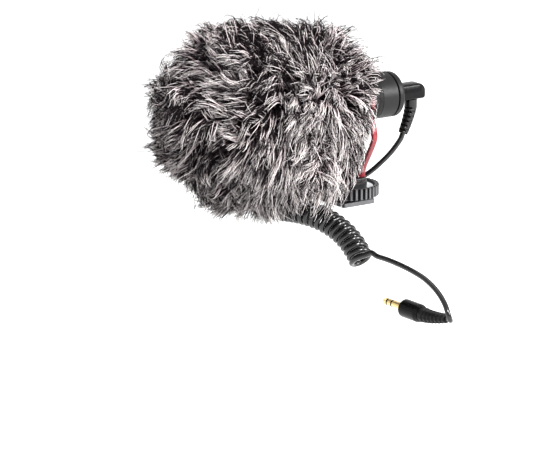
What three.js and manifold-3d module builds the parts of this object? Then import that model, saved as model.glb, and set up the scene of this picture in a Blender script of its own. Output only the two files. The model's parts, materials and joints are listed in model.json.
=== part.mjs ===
// Compact on-camera microphone: a slotted tube held in two rubber lyres, a fur windshield,
// a cold-shoe foot with a thumb wheel, and a curly patch cord with two stereo mini plugs.
// Millimetres, +Z up. The origin is the centre of the shoe foot's underside.
// The microphone points along -Y, and the far plug lies towards +X.

import * as THREE from "three";
import { mergeVertices } from "three/addons/utils/BufferGeometryUtils.js";
import Module from "manifold-3d";

const wasm = await Module();
wasm.setup();

// Directions
const coilUp = new THREE.Vector3(0, 1, 0); // square to which round tubes take their first corner

// Clearances, cutting and facets
const seat = 0.3; // gap between pieces that rest on or in each other
const slideFit = 0.15; // gap round thin rings that share an axis
const overrun = 1; // how far a cutter passes the faces that it cuts
const weld = 0.0001;
const fineSegments = 36;
const roundSegments = 28;
const smallSegments = 14;
const arcSegments = 14;
const liningSegments = 20;

// Shoe foot, stud and clamp
const footWidth = 18.4;
const footLength = 18;
const footThickness = 2;
const footCorner = 1.2;
const hubRadius = 5.6;
const hubHeight = 0.9;
const spigotRadius = 2.2;
const spigotHeight = 4.5;
const studRadius = 4.76;
const threadDepth = 0.35;
const threadPitch = 1.5875;
const shoeLip = 1.6; // lip of a camera's shoe, between the foot and the washer
const washerRadius = 9.3;
const washerThickness = 1;

// Thumb wheel and its brass insert
const wheelRadius = 14.5;
const wheelHeight = 5.2;
const wheelChamfer = 0.5;
const wheelRim = 1.5;
const wheelWeb = 1.3;
const wheelWebTaper = 0.8;
const wheelTravel = 0.8; // how far the wheel backs off the shoe
const wheelRibs = 36;
const ribGrooveWidth = 1.15;
const ribGrooveDepth = 0.7;
const insertWall = 1.5;

// Mount base: round flange with a rail along the microphone
const flangeRadius = 8.8;
const flangeThickness = 3.3;
const flangeChamfer = 0.4;
const socketDepth = 2.7;
const railWidth = 9;
const railHeight = 1.2;
const railMargin = 0.6; // rail past the lyre feet

// Lyres and their screws
const rearLyreY = 5;
const frontLyreY = -15.5;
const lyreWidth = 2.5;
const lyreThickness = 1.6;
const lyreFootWidth = 8;
const lyreFootLength = 4;
const lyreFootHeight = 1.6;
const lyreBulge = 13.6;
const clipThickness = 1.5;
const clipOpening = 70; // degrees left open at the top
const armShares = [
  [0.27, -0.04],
  [0.34, 0.12],
  [0.62, 0.345],
  [0.9, 0.53],
  [1, 0.66],
  [0.96, 0.8],
  [0.83, 0.93],
]; // of the bulge across, and of the rise from the foot to where the arm meets the clip
const armMeetsClip = 34; // degrees below the microphone's axis
const screwRadius = 0.9;
const screwHeadRadius = 1.9;
const screwHeadHeight = 1.2;
const screwBite = 0.8; // thread engagement in the rail

// Microphone body, along its own axis
const axisHeight = 48.5;
const micRadius = 10.6;
const micFront = -54.8;
const micRear = 25.4;
const tubeWall = 0.9;
const capHeight = 3.2;
const capFillet = 1.5;
const capSpigot = 5;
const grooveWidth = 0.8;
const ringDepth = 3.4;
const ringSpigot = 3.5;
const ringMouth = 7.4;
const ringChamfer = 0.5;
const ringLipThickness = 1.2;
const grilleRadius = 8.1;
const grilleThickness = 0.6;
const grilleHoleRadius = 0.7;
const grillePitch = 2.4;
const grilleRings = 2;
const bandRear = 12.7;
const bandWidth = 2.4;
const bandThickness = 0.4;
const slotWidth = 3;
const slotLength = 7.5;
const slotPitch = 9.5;
const slotRows = 2;
const slotsRound = 6;
const slotPlace = 9.3; // behind the microphone's front
const screenThickness = 0.3;
const screenLength = 20.5;

// Capsule, its rubber boot and the electronics
const capsuleRadius = 5;
const capsuleDepth = 6.5;
const capsulePlace = 26.8; // behind the microphone's front
const capsuleRim = 0.6;
const capsulePort = 1.6;
const bootLip = 1;
const bootDepth = 5.5;
const boardLength = 25;
const boardThickness = 1.2;
const boardDrop = 2.6; // underside below the axis
const chipLength = 5;
const chipWidth = 4;
const chipHeight = 1.4;
const chipPlace = 10; // behind the board's front end
const capacitorRadius = 2;
const capacitorLength = 6;
const capacitorPlace = 14;
const wireRadius = 0.35;
const wireSpread = 2.4;
const wireSag = 0.6;

// Output socket
const socketRadius = 5.2;
const neckRadius = 3.9;
const plugClearance = 0.4;
const socketFloor = 1;

// Mini plug contacts, the same on both ends of the cord
const contactRadius = 1.75;
const sleeveLength = 7.3;
const insulatorLength = 0.8;
const ringLength = 2.4;
const tipLength = 3.2;
const tipWaistShares = [0.55, 0.8, 0.45]; // of the radius, at the waist, bulge and nose
const contactGap = 0.1;

// Right-angle plug at the microphone
const housingSize = 7.4;
const housingLength = 16.6;
const housingRound = 4; // outer corner of the elbow
const housingCorner = 1.4;
const housingBevel = 1.3;
const exitPlace = 10.4; // relief axis behind the plug's front face
const reliefCollarRadius = 3;
const reliefTipRadius = 2.3;
const reliefCollarLength = 3.4;
const reliefRibs = 6;
const ribDepth = 0.45;
const ribShares = [0.2, 0.45, 0.65, 1]; // of a rib's pitch: where its groove and its crown lie
const reliefSides = 10;
const reliefLength = 16.6;
const reliefBendShares = [[0, 0, 0], [0, -0.01, -0.26], [-0.01, -0.11, -0.61], [-0.035, -0.245, -0.965]];

// Straight plug at the far end
const farGripRadius = 4.3;
const farGripLength = 14;
const farCollarRadius = 3.6;
const farTipRadius = 2.3;
const farCollarLength = 2;
const farRibs = 6;
const farPlugPlace = [64.8, -5, -38.8]; // where the grip meets its relief
const farReliefLength = 17.2;
const farReliefBendShares = [[0, 0, 0], [0.3, 0, 0.017], [0.65, 0, 0.064], [0.994, 0, 0.122]];

// Patch cord
const cordDiameter = 2.2;
const leadSides = 8;
const leadStep = 2.2; // in cord diameters
const coilDiameter = 11.8;
const coilTurns = 16.55;
const coilStartTurn = 0.38; // where round the coil the first turn begins, in turns
const coilSteps = 8;
const coilSides = 5;
const coilAxis = [
  [-14.5, -26.5, -2.5],
  [2.2, -25.5, -0.4],
  [14.8, -12.9, -3.2],
  [30.9, -14.6, -19.6],
];
const nearLeadRoute = [
  [-3.1, 29.9, 22.1],
  [-4.9, 28.5, 19],
  [-6.6, 26.6, 16.1],
  [-8.4, 24.5, 13.3],
  [-10.4, 22.1, 10.4],
  [-12.7, 19.7, 7.8],
  [-15.3, 16.6, 5.4],
  [-17.8, 12.4, 3.6],
  [-20, 6.3, 2.1],
  [-20.9, -2, 1.2],
  [-19.6, -9.5, 0],
  [-17.4, -15, -1.6],
];
const farLeadRoute = [
  [40, -13, -15.5],
  [45, -12, -15.9],
  [50, -11.1, -16.4],
  [57, -9.8, -17.5],
  [63.5, -8.8, -18.8],
  [69, -7.9, -20.4],
  [75, -7.5, -22.8],
  [80.5, -7.7, -25.6],
  [85.2, -8.3, -28.8],
  [88.4, -9, -32.2],
  [88.9, -8.3, -35],
  [86.9, -6.3, -36.3],
];

// Fur windshield, along the microphone's axis
const furRadius = 41.2;
const furFrontReach = 49.5; // from its widest place to its front
const furRearRadius = 27; // edge of its flat rear
const furOutlinePower = 2.2; // 2 would make it an ellipse
const furCentre = -50.5;
const furRear = -5;
const furBore = 17; // room round the front lyre's clip
const furPartingWidth = 33; // hair parted round the shock mount
const backingRadius = 21.5;
const backingHalfLength = 32;
const backingCentre = -49;
const backingThickness = 0.9;
const neckY = -23.3;
const hemThickness = 2;
const hemLength = 2.4;
const foamRear = -25;
const shellSteps = 12;
const liningSteps = 8;

// Colours
const furGrey = { color: 0x8f8782, roughness: 1, metalness: 0 };
const knitGrey = { color: 0x3a3634, roughness: 1, metalness: 0 };
const foamBlack = { color: 0x1c1c1d, roughness: 1, metalness: 0 };
const satinBlack = { color: 0x39393c, roughness: 0.38, metalness: 0.5 };
const mouldedBlack = { color: 0x1a1a1c, roughness: 0.5, metalness: 0 };
const glossBlack = { color: 0x0c0c0d, roughness: 0.22, metalness: 0 };
const rubberBlack = { color: 0x151516, roughness: 0.75, metalness: 0 };
const lyreRed = { color: 0xb8283a, roughness: 0.5, metalness: 0 };
const bareSteel = { color: 0xa6a7a9, roughness: 0.3, metalness: 1 };
const brass = { color: 0xb58a45, roughness: 0.35, metalness: 1 };
const gold = { color: 0xd2a857, roughness: 0.25, metalness: 1 };
const boardGreen = { color: 0x1f5a38, roughness: 0.55, metalness: 0 };
const wireRed = { color: 0xa32222, roughness: 0.5, metalness: 0 };

// Heights that follow from the sizes above
const hubTop = footThickness + hubHeight;
const washerBottom = footThickness + shoeLip;
const washerTop = washerBottom + washerThickness;
const wheelBottom = washerBottom + seat;
const wheelTop = wheelBottom + wheelHeight;
const webBottom = washerTop + seat;
const webTop = webBottom + wheelWeb;
const flangeBottom = webTop + wheelTravel + seat;
const flangeTop = flangeBottom + flangeThickness;
const studTop = flangeBottom + socketDepth;
const railBottom = wheelTop + wheelTravel + seat;
const railTop = railBottom + railHeight;
const lyreFootBottom = railTop + seat;
const lyreFootTop = lyreFootBottom + lyreFootHeight;
const clipInner = micRadius + seat;
const tubeInner = micRadius - tubeWall;
const spigotOuter = tubeInner - seat;
const capFront = micRear - capHeight;
const tubeRear = capFront - grooveWidth;
const tubeFront = micFront + ringDepth + seat;
const firstSlot = micFront + slotPlace;
const capsuleFront = micFront + capsulePlace;
const jackBore = contactRadius + plugClearance;
const plugLength =
  sleeveLength + ringLength + tipLength + insulatorLength * 2 + contactGap * 4 + slideFit;
const jackFloor = micRear + seat - plugLength - seat;
const jackFront = jackFloor - socketFloor;
const boardRear = jackFront - seat;
const boardFront = boardRear - boardLength;
const boardTop = boardThickness - boardDrop;

// A geometry as a manifold-3d solid, without the triangles that merging closes up.
function solidOf(geometry) {
  const loose = geometry.index ? geometry.toNonIndexed() : geometry.clone();
  loose.deleteAttribute("normal");
  loose.deleteAttribute("uv");
  const merged = mergeVertices(loose, weld);
  const corners = merged.index.array;
  const kept = [];
  for (let i = 0; i < corners.length; i += 3) {
    const [a, b, c] = [corners[i], corners[i + 1], corners[i + 2]];
    if (a !== b && b !== c && c !== a) kept.push(a, b, c);
  }
  return new wasm.Manifold(
    new wasm.Mesh({
      numProp: 3,
      vertProperties: merged.attributes.position.array,
      triVerts: new Uint32Array(kept),
    }),
  );
}

function geometryOf(solid) {
  const mesh = solid.getMesh();
  const geometry = new THREE.BufferGeometry();
  geometry.setAttribute("position", new THREE.BufferAttribute(mesh.vertProperties, 3));
  geometry.setIndex(new THREE.BufferAttribute(mesh.triVerts, 1));
  geometry.computeVertexNormals();
  return geometry;
}

function cut(geometry, cutters) {
  return geometryOf(cutters.reduce((body, cutter) => body.subtract(solidOf(cutter)), solidOf(geometry)));
}

function join(geometries) {
  const [first, ...others] = geometries.map(solidOf);
  return geometryOf(others.reduce((body, other) => body.add(other), first));
}

// A solid turned round the Y axis from points [radius, y].
function turned(profile, segments = roundSegments) {
  const area = profile.reduce((sum, [r, y], i) => {
    const [nextR, nextY] = profile[(i + 1) % profile.length];
    return sum + r * nextY - nextR * y;
  }, 0);
  const points = profile.map(([r, y]) => new THREE.Vector2(r, y));
  if (area < 0) points.reverse();
  return new THREE.LatheGeometry(points, segments);
}

// The same for a ring, whose outline closes on itself.
function turnedRing(profile, segments = roundSegments) {
  return turned([...profile, profile[0]], segments);
}

// Turns a geometry made round Y so that it stands along Z.
function upright(geometry) {
  return geometry.rotateX(Math.PI / 2);
}

function tubeAlongY(inner, outer, from, to, segments) {
  return turnedRing([[inner, from], [outer, from], [outer, to], [inner, to]], segments);
}

function rodAlongY(radius, from, to, segments) {
  return turned([[0, from], [radius, from], [radius, to], [0, to]], segments);
}

function box(width, length, height, x, y, z) {
  return new THREE.BoxGeometry(width, length, height).translate(x, y, z);
}

// Part of an ellipse's outline as [radius, y] points, from its front pole to a rear plane.
function shellOutline(radius, halfLength, centre, rear, steps) {
  const last = Math.acos(THREE.MathUtils.clamp((centre - rear) / halfLength, -1, 1));
  const points = [];
  for (let i = 0; i <= steps; i++) {
    const angle = (last * i) / steps;
    points.push([radius * Math.sin(angle), centre - halfLength * Math.cos(angle)]);
  }
  return points;
}

function roundedPlate(width, length, corner, height) {
  const [x, y] = [width / 2 - corner, length / 2 - corner];
  const shape = new THREE.Shape();
  shape.absarc(x, y, corner, 0, Math.PI / 2);
  shape.absarc(-x, y, corner, Math.PI / 2, Math.PI);
  shape.absarc(-x, -y, corner, Math.PI, Math.PI * 1.5);
  shape.absarc(x, -y, corner, Math.PI * 1.5, Math.PI * 2);
  return new THREE.ExtrudeGeometry(shape, { depth: height, bevelEnabled: false, curveSegments: 3 });
}

function mesh(name, geometry, look) {
  const made = new THREE.Mesh(geometry, new THREE.MeshStandardMaterial(look));
  made.name = name;
  return made;
}

function group(position, children) {
  const made = new THREE.Group();
  made.position.set(...position);
  made.add(...children);
  return made;
}

// Shoe foot: plate, hub that passes between the shoe's lips, and a spigot for the stud.
function shoeFoot() {
  const plate = roundedPlate(footWidth, footLength, footCorner, footThickness);
  const spigot = upright(
    turned([
      [0, footThickness / 2],
      [hubRadius, footThickness / 2],
      [hubRadius, hubTop],
      [spigotRadius, hubTop],
      [spigotRadius, footThickness + spigotHeight],
      [0, footThickness + spigotHeight],
    ]),
  );
  return join([plate, spigot]);
}

// Threaded stud between the foot and the base, its thread drawn as rings.
function threadedStud() {
  const bottom = hubTop + seat;
  const inner = spigotRadius + seat;
  const threads = Math.floor((studTop - bottom) / threadPitch);
  const profile = [[inner, bottom], [studRadius - threadDepth, bottom]];
  for (let i = 0; i < threads; i++) {
    const from = bottom + i * threadPitch;
    profile.push([studRadius, from + threadPitch / 2]);
    profile.push([studRadius - threadDepth, from + threadPitch]);
  }
  profile.push([studRadius - threadDepth, studTop], [inner, studTop]);
  return upright(turnedRing(profile));
}

function clampWasher() {
  return upright(tubeAlongY(studRadius + seat, washerRadius, washerBottom, washerTop));
}

// Dished thumb wheel with grooves round its rim and a pocket for the washer below.
function thumbWheel() {
  const hole = studRadius + seat + insertWall + seat;
  const pocket = washerRadius + seat;
  const rimInner = wheelRadius - wheelChamfer - wheelRim;
  const blank = upright(
    turnedRing(
      [
        [hole, webBottom],
        [pocket, webBottom],
        [pocket, wheelBottom],
        [wheelRadius - wheelChamfer, wheelBottom],
        [wheelRadius, wheelBottom + wheelChamfer],
        [wheelRadius, wheelTop - wheelChamfer],
        [wheelRadius - wheelChamfer, wheelTop],
        [rimInner, wheelTop],
        [rimInner - wheelWebTaper, webTop],
        [hole, webTop],
      ],
      wheelRibs,
    ),
  );
  const grooves = [];
  for (let i = 0; i < wheelRibs; i++) {
    const groove = box(
      ribGrooveDepth + overrun,
      ribGrooveWidth,
      wheelHeight + overrun * 2,
      wheelRadius - ribGrooveDepth / 2 + overrun / 2,
      0,
      wheelBottom + wheelHeight / 2,
    );
    grooves.push(groove.rotateZ(((i + 0.5) * Math.PI * 2) / wheelRibs));
  }
  return cut(blank, grooves);
}

function wheelInsert() {
  const inner = studRadius + seat;
  return upright(tubeAlongY(inner, inner + insertWall, webBottom, webTop));
}

const lyrePlaces = [["rear", rearLyreY], ["front", frontLyreY]];

// Base: flange over the stud and a rail under both lyres, with their screw holes.
function mountBase() {
  const flange = upright(
    turned([
      [0, flangeBottom],
      [flangeRadius, flangeBottom],
      [flangeRadius, flangeTop - flangeChamfer],
      [flangeRadius - flangeChamfer, flangeTop],
      [0, flangeTop],
    ]),
  );
  const railEnd = lyreFootLength / 2 + railMargin;
  const railLength = rearLyreY - frontLyreY + railEnd * 2;
  const rail = roundedPlate(railWidth, railLength, railMargin, railHeight);
  rail.translate(0, (rearLyreY + frontLyreY) / 2, railBottom);
  const socket = upright(
    rodAlongY(studRadius + seat, flangeBottom - overrun, studTop + seat),
  );
  const holes = lyrePlaces.map(([, y]) =>
    upright(
      rodAlongY(screwRadius + slideFit, railTop - screwBite - seat, railTop + overrun, smallSegments),
    ).translate(0, y, 0),
  );
  return cut(join([flange, rail]), [socket, ...holes]);
}

// A flat strip of even thickness along a curve in the XZ plane, as wide as a lyre along Y.
function strip(points, thickness) {
  const curve = new THREE.SplineCurve(points.map(([x, z]) => new THREE.Vector2(x, z)));
  const steps = arcSegments;
  const sides = [[], []];
  for (let i = 0; i <= steps; i++) {
    const at = curve.getPointAt(i / steps);
    const along = curve.getTangentAt(i / steps);
    const across = new THREE.Vector2(-along.y, along.x).multiplyScalar(thickness / 2);
    sides[0].push(at.clone().add(across));
    sides[1].unshift(at.clone().sub(across));
  }
  return acrossY(new THREE.Shape([...sides[0], ...sides[1]]), lyreWidth);
}

// Extrudes an outline drawn in X and Z along Y, centred on the XZ plane.
function acrossY(shape, width) {
  const made = new THREE.ExtrudeGeometry(shape, {
    depth: width,
    bevelEnabled: false,
    curveSegments: arcSegments,
  });
  return made.rotateX(Math.PI / 2).translate(0, width / 2, 0);
}

// Lyre: foot block, two bulging arms and an open clip that snaps round the microphone.
function lyre() {
  const meet = THREE.MathUtils.degToRad(armMeetsClip);
  const clipMiddle = clipInner + clipThickness / 2;
  const [meetX, meetZ] = [clipMiddle * Math.cos(meet), axisHeight - clipMiddle * Math.sin(meet)];
  const rise = meetZ - lyreFootTop;
  const half = THREE.MathUtils.degToRad(clipOpening / 2);
  const [from, to] = [Math.PI / 2 + half, Math.PI * 2.5 - half];
  const ring = new THREE.Shape();
  ring.absarc(0, 0, clipInner + clipThickness, from, to, false);
  ring.absarc(0, 0, clipInner, to, from, true);
  const clip = acrossY(ring, lyreWidth).translate(0, 0, axisHeight);
  const arms = [-1, 1].map((side) => {
    const bends = armShares.map(([x, z]) => [side * x * lyreBulge, lyreFootTop + z * rise]);
    return strip([...bends, [side * meetX, meetZ]], lyreThickness);
  });
  const foot = box(
    lyreFootWidth,
    lyreFootLength,
    lyreFootHeight,
    0,
    0,
    lyreFootBottom + lyreFootHeight / 2,
  );
  const hole = upright(
    rodAlongY(screwRadius + slideFit, lyreFootBottom - overrun, lyreFootTop + overrun, smallSegments),
  );
  return cut(join([foot, ...arms, clip]), [hole]);
}

function lyreScrew() {
  const headBottom = lyreFootTop + slideFit;
  const headTop = headBottom + screwHeadHeight;
  return upright(
    turned(
      [
        [0, railTop - screwBite],
        [screwRadius, railTop - screwBite],
        [screwRadius, headBottom],
        [screwHeadRadius, headBottom],
        [screwHeadRadius, headBottom + screwHeadHeight / 2],
        [screwHeadRadius / 2, headTop],
        [0, headTop],
      ],
      smallSegments,
    ),
  );
}

// Body tube with rows of acoustic slots and a shallow groove for the rubber band.
function bodyTube() {
  const bandFloor = micRadius - bandThickness - slideFit;
  const blank = turnedRing(
    [
      [tubeInner, tubeFront],
      [micRadius, tubeFront],
      [micRadius, bandRear - bandWidth],
      [bandFloor, bandRear - bandWidth],
      [bandFloor, bandRear],
      [micRadius, bandRear],
      [micRadius, tubeRear],
      [tubeInner, tubeRear],
    ],
    fineSegments,
  );
  const slots = [];
  for (let row = 0; row < slotRows; row++) {
    for (let i = 0; i < slotsRound; i++) {
      const slot = box(
        slotWidth,
        slotLength,
        tubeWall + overrun * 2,
        0,
        firstSlot + row * slotPitch,
        micRadius - tubeWall / 2,
      );
      slots.push(slot.rotateY(((i + 0.5) * Math.PI * 2) / slotsRound));
    }
  }
  return cut(blank, slots);
}

// Front ring: screws into the tube and holds the grille behind its lip.
function frontRing() {
  const pocket = grilleRadius + seat;
  const lipRear = micFront + ringLipThickness;
  const shoulder = micFront + ringDepth;
  const rear = shoulder + ringSpigot;
  return turnedRing(
    [
      [ringMouth, micFront],
      [micRadius - ringChamfer, micFront],
      [micRadius, micFront + ringChamfer],
      [micRadius, shoulder],
      [spigotOuter, shoulder],
      [spigotOuter, rear],
      [pocket, rear],
      [pocket, lipRear],
      [ringMouth, lipRear],
    ],
    fineSegments,
  );
}

// Grille disc with rings of round holes.
function frontGrille() {
  const from = micFront + ringLipThickness + slideFit;
  const disc = rodAlongY(grilleRadius, from, from + grilleThickness);
  const hole = (x, z) =>
    rodAlongY(grilleHoleRadius, from - overrun, from + grilleThickness + overrun, 6).translate(x, 0, z);
  const holes = [hole(0, 0)];
  for (let ring = 1; ring <= grilleRings; ring++) {
    for (let i = 0; i < ring * 6; i++) {
      const angle = (i * Math.PI * 2) / (ring * 6);
      holes.push(hole(ring * grillePitch * Math.cos(angle), ring * grillePitch * Math.sin(angle)));
    }
  }
  return cut(disc, holes);
}

// Fine mesh sleeve behind the slots.
function slotScreen() {
  const from = micFront + ringDepth + ringSpigot + seat;
  return tubeAlongY(spigotOuter - screenThickness, spigotOuter, from, from + screenLength);
}

// Capsule can with a sound port in its front.
function capsuleCan() {
  const rear = capsuleFront + capsuleDepth;
  return turned([
    [0, capsuleFront + capsuleRim],
    [capsulePort, capsuleFront + capsuleRim],
    [capsulePort, capsuleFront],
    [capsuleRadius, capsuleFront],
    [capsuleRadius, rear],
    [0, rear],
  ]);
}

function capsuleBoot() {
  const inner = capsuleRadius + slideFit;
  const outer = spigotOuter - screenThickness - slideFit;
  const from = capsuleFront - slideFit - bootLip;
  return turnedRing([
    [inner - bootLip, from],
    [outer, from],
    [outer, from + bootDepth],
    [inner, from + bootDepth],
    [inner, capsuleFront - slideFit],
    [inner - bootLip, capsuleFront - slideFit],
  ]);
}

// Circuit board, as wide as the tube allows at its height.
function circuitBoard() {
  const reach = tubeInner - seat;
  const width = 2 * Math.sqrt(reach ** 2 - boardDrop ** 2);
  const middle = (boardFront + boardRear) / 2;
  return box(width, boardLength, boardThickness, 0, middle, boardTop - boardThickness / 2);
}

function outputChip() {
  const chip = roundedPlate(chipWidth, chipLength, chipHeight / 4, chipHeight);
  return chip.translate(-tubeInner / 3, boardFront + chipPlace, boardTop + slideFit);
}

function filterCapacitor() {
  const from = boardFront + capacitorPlace;
  const can = rodAlongY(capacitorRadius, from, from + capacitorLength, smallSegments);
  return can.translate(tubeInner / 3, 0, boardTop + slideFit + capacitorRadius);
}

// A round tube of even section along a curve through points.
function tubeAlong(points, radius, sides, step) {
  const curve = new THREE.CatmullRomCurve3(points.map((p) => new THREE.Vector3(...p)));
  const section = new THREE.Shape();
  for (let i = 0; i < sides; i++) {
    const angle = (i * Math.PI * 2) / sides;
    const [x, y] = [radius * Math.cos(angle), radius * Math.sin(angle)];
    if (i === 0) section.moveTo(x, y);
    else section.lineTo(x, y);
  }
  const steps = Math.ceil(curve.getLength() / step);
  return new THREE.ExtrudeGeometry(section, { steps, bevelEnabled: false, extrudePath: curve });
}

function capsuleWire(side) {
  const rear = capsuleFront + capsuleDepth + slideFit;
  const end = boardFront - slideFit;
  const height = -boardDrop + boardThickness / 2;
  return tubeAlong(
    [
      [(side * wireSpread) / 2, rear, 0],
      [(side * wireSpread) / 2, rear + wireRadius * 2, 0],
      [side * wireSpread, (rear + end) / 2, height / 2 - wireSag],
      [side * wireSpread, end - wireRadius * 2, height],
      [side * wireSpread, end, height],
    ],
    wireRadius,
    6,
    wireRadius * 2,
  );
}

// Output socket: body on the board's end, neck through the rear cap, and a blind bore for the plug.
function jackSocket() {
  const rear = micRear - slideFit;
  const shoulder = capFront - capSpigot - seat;
  return turned([
    [0, jackFront],
    [socketRadius, jackFront],
    [socketRadius, shoulder],
    [neckRadius, shoulder],
    [neckRadius, rear],
    [jackBore, rear],
    [jackBore, jackFloor],
    [0, jackFloor],
  ]);
}

// Rear cap with a rounded edge, a spigot in the tube and a hole for the socket's neck.
function rearCap() {
  const inner = neckRadius + slideFit;
  const rounded = [];
  const steps = 4;
  for (let i = 0; i <= steps; i++) {
    const angle = (i * Math.PI) / 2 / steps;
    rounded.push([
      micRadius - capFillet + capFillet * Math.cos(angle),
      micRear - capFillet + capFillet * Math.sin(angle),
    ]);
  }
  return turnedRing(
    [
      [inner, capFront - capSpigot],
      [spigotOuter, capFront - capSpigot],
      [spigotOuter, capFront],
      [micRadius, capFront],
      ...rounded,
      [inner, micRear],
    ],
    fineSegments,
  );
}

function rearBand() {
  const inner = micRadius - bandThickness;
  return tubeAlongY(inner, micRadius, bandRear - bandWidth + slideFit, bandRear - slideFit, fineSegments);
}

// Contacts of a mini plug along Y from its shoulder at zero towards -Y, as [name, geometry, look].
function plugContacts(prefix) {
  const made = [];
  let from = -slideFit;
  const place = (name, length, look, profile) => {
    const to = from - length;
    made.push(mesh(`${prefix}_${name}`, turned(profile(from, to), smallSegments), look));
    from = to - contactGap;
  };
  const rod = (start, end) => [[0, end], [contactRadius, end], [contactRadius, start], [0, start]];
  place("sleeve", sleeveLength, gold, rod);
  place("insulator_1", insulatorLength, mouldedBlack, rod);
  place("ring", ringLength, gold, rod);
  place("insulator_2", insulatorLength, mouldedBlack, rod);
  const [waist, bulge, nose] = tipWaistShares;
  place("tip", tipLength, gold, (start, end) => [
    [0, end],
    [contactRadius * nose, end],
    [contactRadius * bulge, end + tipLength * (1 - bulge)],
    [contactRadius, end + tipLength / 2],
    [contactRadius * waist, start - tipLength / 4],
    [contactRadius, start],
    [0, start],
  ]);
  return made;
}

// Elbow housing, drawn from the side and extruded across; its outer corner is a large round.
function plugHousing() {
  const half = housingSize / 2;
  const small = housingCorner;
  const rear = housingLength;
  const shape = new THREE.Shape();
  shape.moveTo(0, -half);
  shape.lineTo(rear - small, -half);
  shape.absarc(rear - small, small - half, small, -Math.PI / 2, 0);
  shape.absarc(rear - housingRound, half - housingRound, housingRound, 0, Math.PI / 2);
  shape.lineTo(0, half);
  const inset = housingBevel;
  const made = new THREE.ExtrudeGeometry(shape, {
    depth: housingSize - inset * 2,
    bevelEnabled: true,
    bevelThickness: inset,
    bevelSize: inset,
    bevelOffset: -inset,
    bevelSegments: 2,
    curveSegments: 6,
  });
  return made.translate(0, 0, inset - housingSize / 2).rotateX(Math.PI / 2).rotateZ(Math.PI / 2);
}

// Rings along a path, joined into one closed tube. Each ring is [centre, tangent, radius], and its
// corners are carried on from the ring before, so that the tube doesn't twist.
function ringTube(rings, sides) {
  const positions = [];
  const index = [];
  let across = new THREE.Vector3().crossVectors(rings[0][1], coilUp).normalize();
  for (const [centre, tangent, radius] of rings) {
    across = across.clone().addScaledVector(tangent, -across.dot(tangent)).normalize();
    const other = new THREE.Vector3().crossVectors(tangent, across);
    for (let i = 0; i < sides; i++) {
      const angle = (i * Math.PI * 2) / sides;
      const at = centre.clone().addScaledVector(across, radius * Math.cos(angle));
      at.addScaledVector(other, radius * Math.sin(angle));
      positions.push(at.x, at.y, at.z);
    }
  }
  for (let ring = 0; ring + 1 < rings.length; ring++) {
    for (let i = 0; i < sides; i++) {
      const a = ring * sides + i;
      const b = ring * sides + ((i + 1) % sides);
      index.push(a, b, a + sides, b, b + sides, a + sides);
    }
  }
  const last = (rings.length - 1) * sides;
  for (let i = 1; i + 1 < sides; i++) {
    index.push(0, i + 1, i, last, last + i, last + i + 1);
  }
  const geometry = new THREE.BufferGeometry();
  geometry.setAttribute("position", new THREE.Float32BufferAttribute(positions, 3));
  geometry.setIndex(index);
  geometry.computeVertexNormals();
  return geometry;
}

// The curve that a strain relief bends along, from its first point and the shares of its length.
function reliefCurve(start, length, shares) {
  return new THREE.CatmullRomCurve3(
    shares.map((share) => new THREE.Vector3(...share).multiplyScalar(length).add(start)),
  );
}

const plugReliefCurve = reliefCurve(
  new THREE.Vector3(0, micRear + seat + exitPlace, axisHeight - housingSize / 2 - seat),
  reliefLength,
  reliefBendShares,
);
const farReliefCurve = reliefCurve(
  new THREE.Vector3(...farPlugPlace),
  farReliefLength,
  farReliefBendShares,
);

// Strain relief: a smooth collar, then ribs that taper towards the cord.
function ribbedRelief(curve, collarRadius, tipRadius, collarLength, ribs) {
  const collarShare = collarLength / curve.getLength();
  const ring = (share, radius) => {
    const at = Math.min(share, 1);
    return [curve.getPointAt(at), curve.getTangentAt(at), radius];
  };
  const rings = [ring(0, collarRadius), ring(collarShare, collarRadius)];
  const pitch = (1 - collarShare) / ribs;
  for (let i = 0; i < ribs; i++) {
    const crown = THREE.MathUtils.lerp(collarRadius, tipRadius, (i + 1) / ribs);
    const radii = [crown - ribDepth, crown - ribDepth, crown, crown];
    radii.forEach((radius, k) => rings.push(ring(collarShare + (i + ribShares[k]) * pitch, radius)));
  }
  return ringTube(rings, reliefSides);
}

const coilCurve = new THREE.CubicBezierCurve3(...coilAxis.map((p) => new THREE.Vector3(...p)));
const coilRadius = (coilDiameter - cordDiameter) / 2;

// A point of the cord's centreline, wound round the coil's axis.
function coilPoint(share, turn) {
  const along = coilCurve.getTangentAt(share);
  const across = new THREE.Vector3().crossVectors(along, coilUp).normalize();
  const other = new THREE.Vector3().crossVectors(along, across);
  const angle = -turn * Math.PI * 2;
  return coilCurve
    .getPointAt(share)
    .addScaledVector(across, coilRadius * Math.cos(angle))
    .addScaledVector(other, coilRadius * Math.sin(angle));
}

// The cord's centreline through the curly stretch, with a straight run at each end.
function coilCentreline() {
  const count = Math.round(coilTurns * coilSteps);
  const points = [];
  for (let i = 0; i <= count; i++) {
    points.push(coilPoint(i / count, coilStartTurn + (coilTurns * i) / count));
  }
  const straight = (from, to) =>
    new THREE.Vector3().subVectors(to, from).setLength(cordDiameter).add(to);
  points.unshift(straight(points[1], points[0]));
  points.push(straight(points.at(-2), points.at(-1)));
  return points;
}

const coilPoints = coilCentreline();

// The coil's rings; those at its straight ends stay square to them.
function cordCoil() {
  const rings = coilPoints.map((at, i) => {
    const before = coilPoints[Math.max(i - 1, 0)];
    const after = coilPoints[Math.min(i + 1, coilPoints.length - 1)];
    return [at, new THREE.Vector3().subVectors(after, before).normalize(), cordDiameter / 2];
  });
  rings[1][1] = rings[0][1];
  rings.at(-2)[1] = rings.at(-1)[1];
  return ringTube(rings, coilSides);
}

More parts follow.
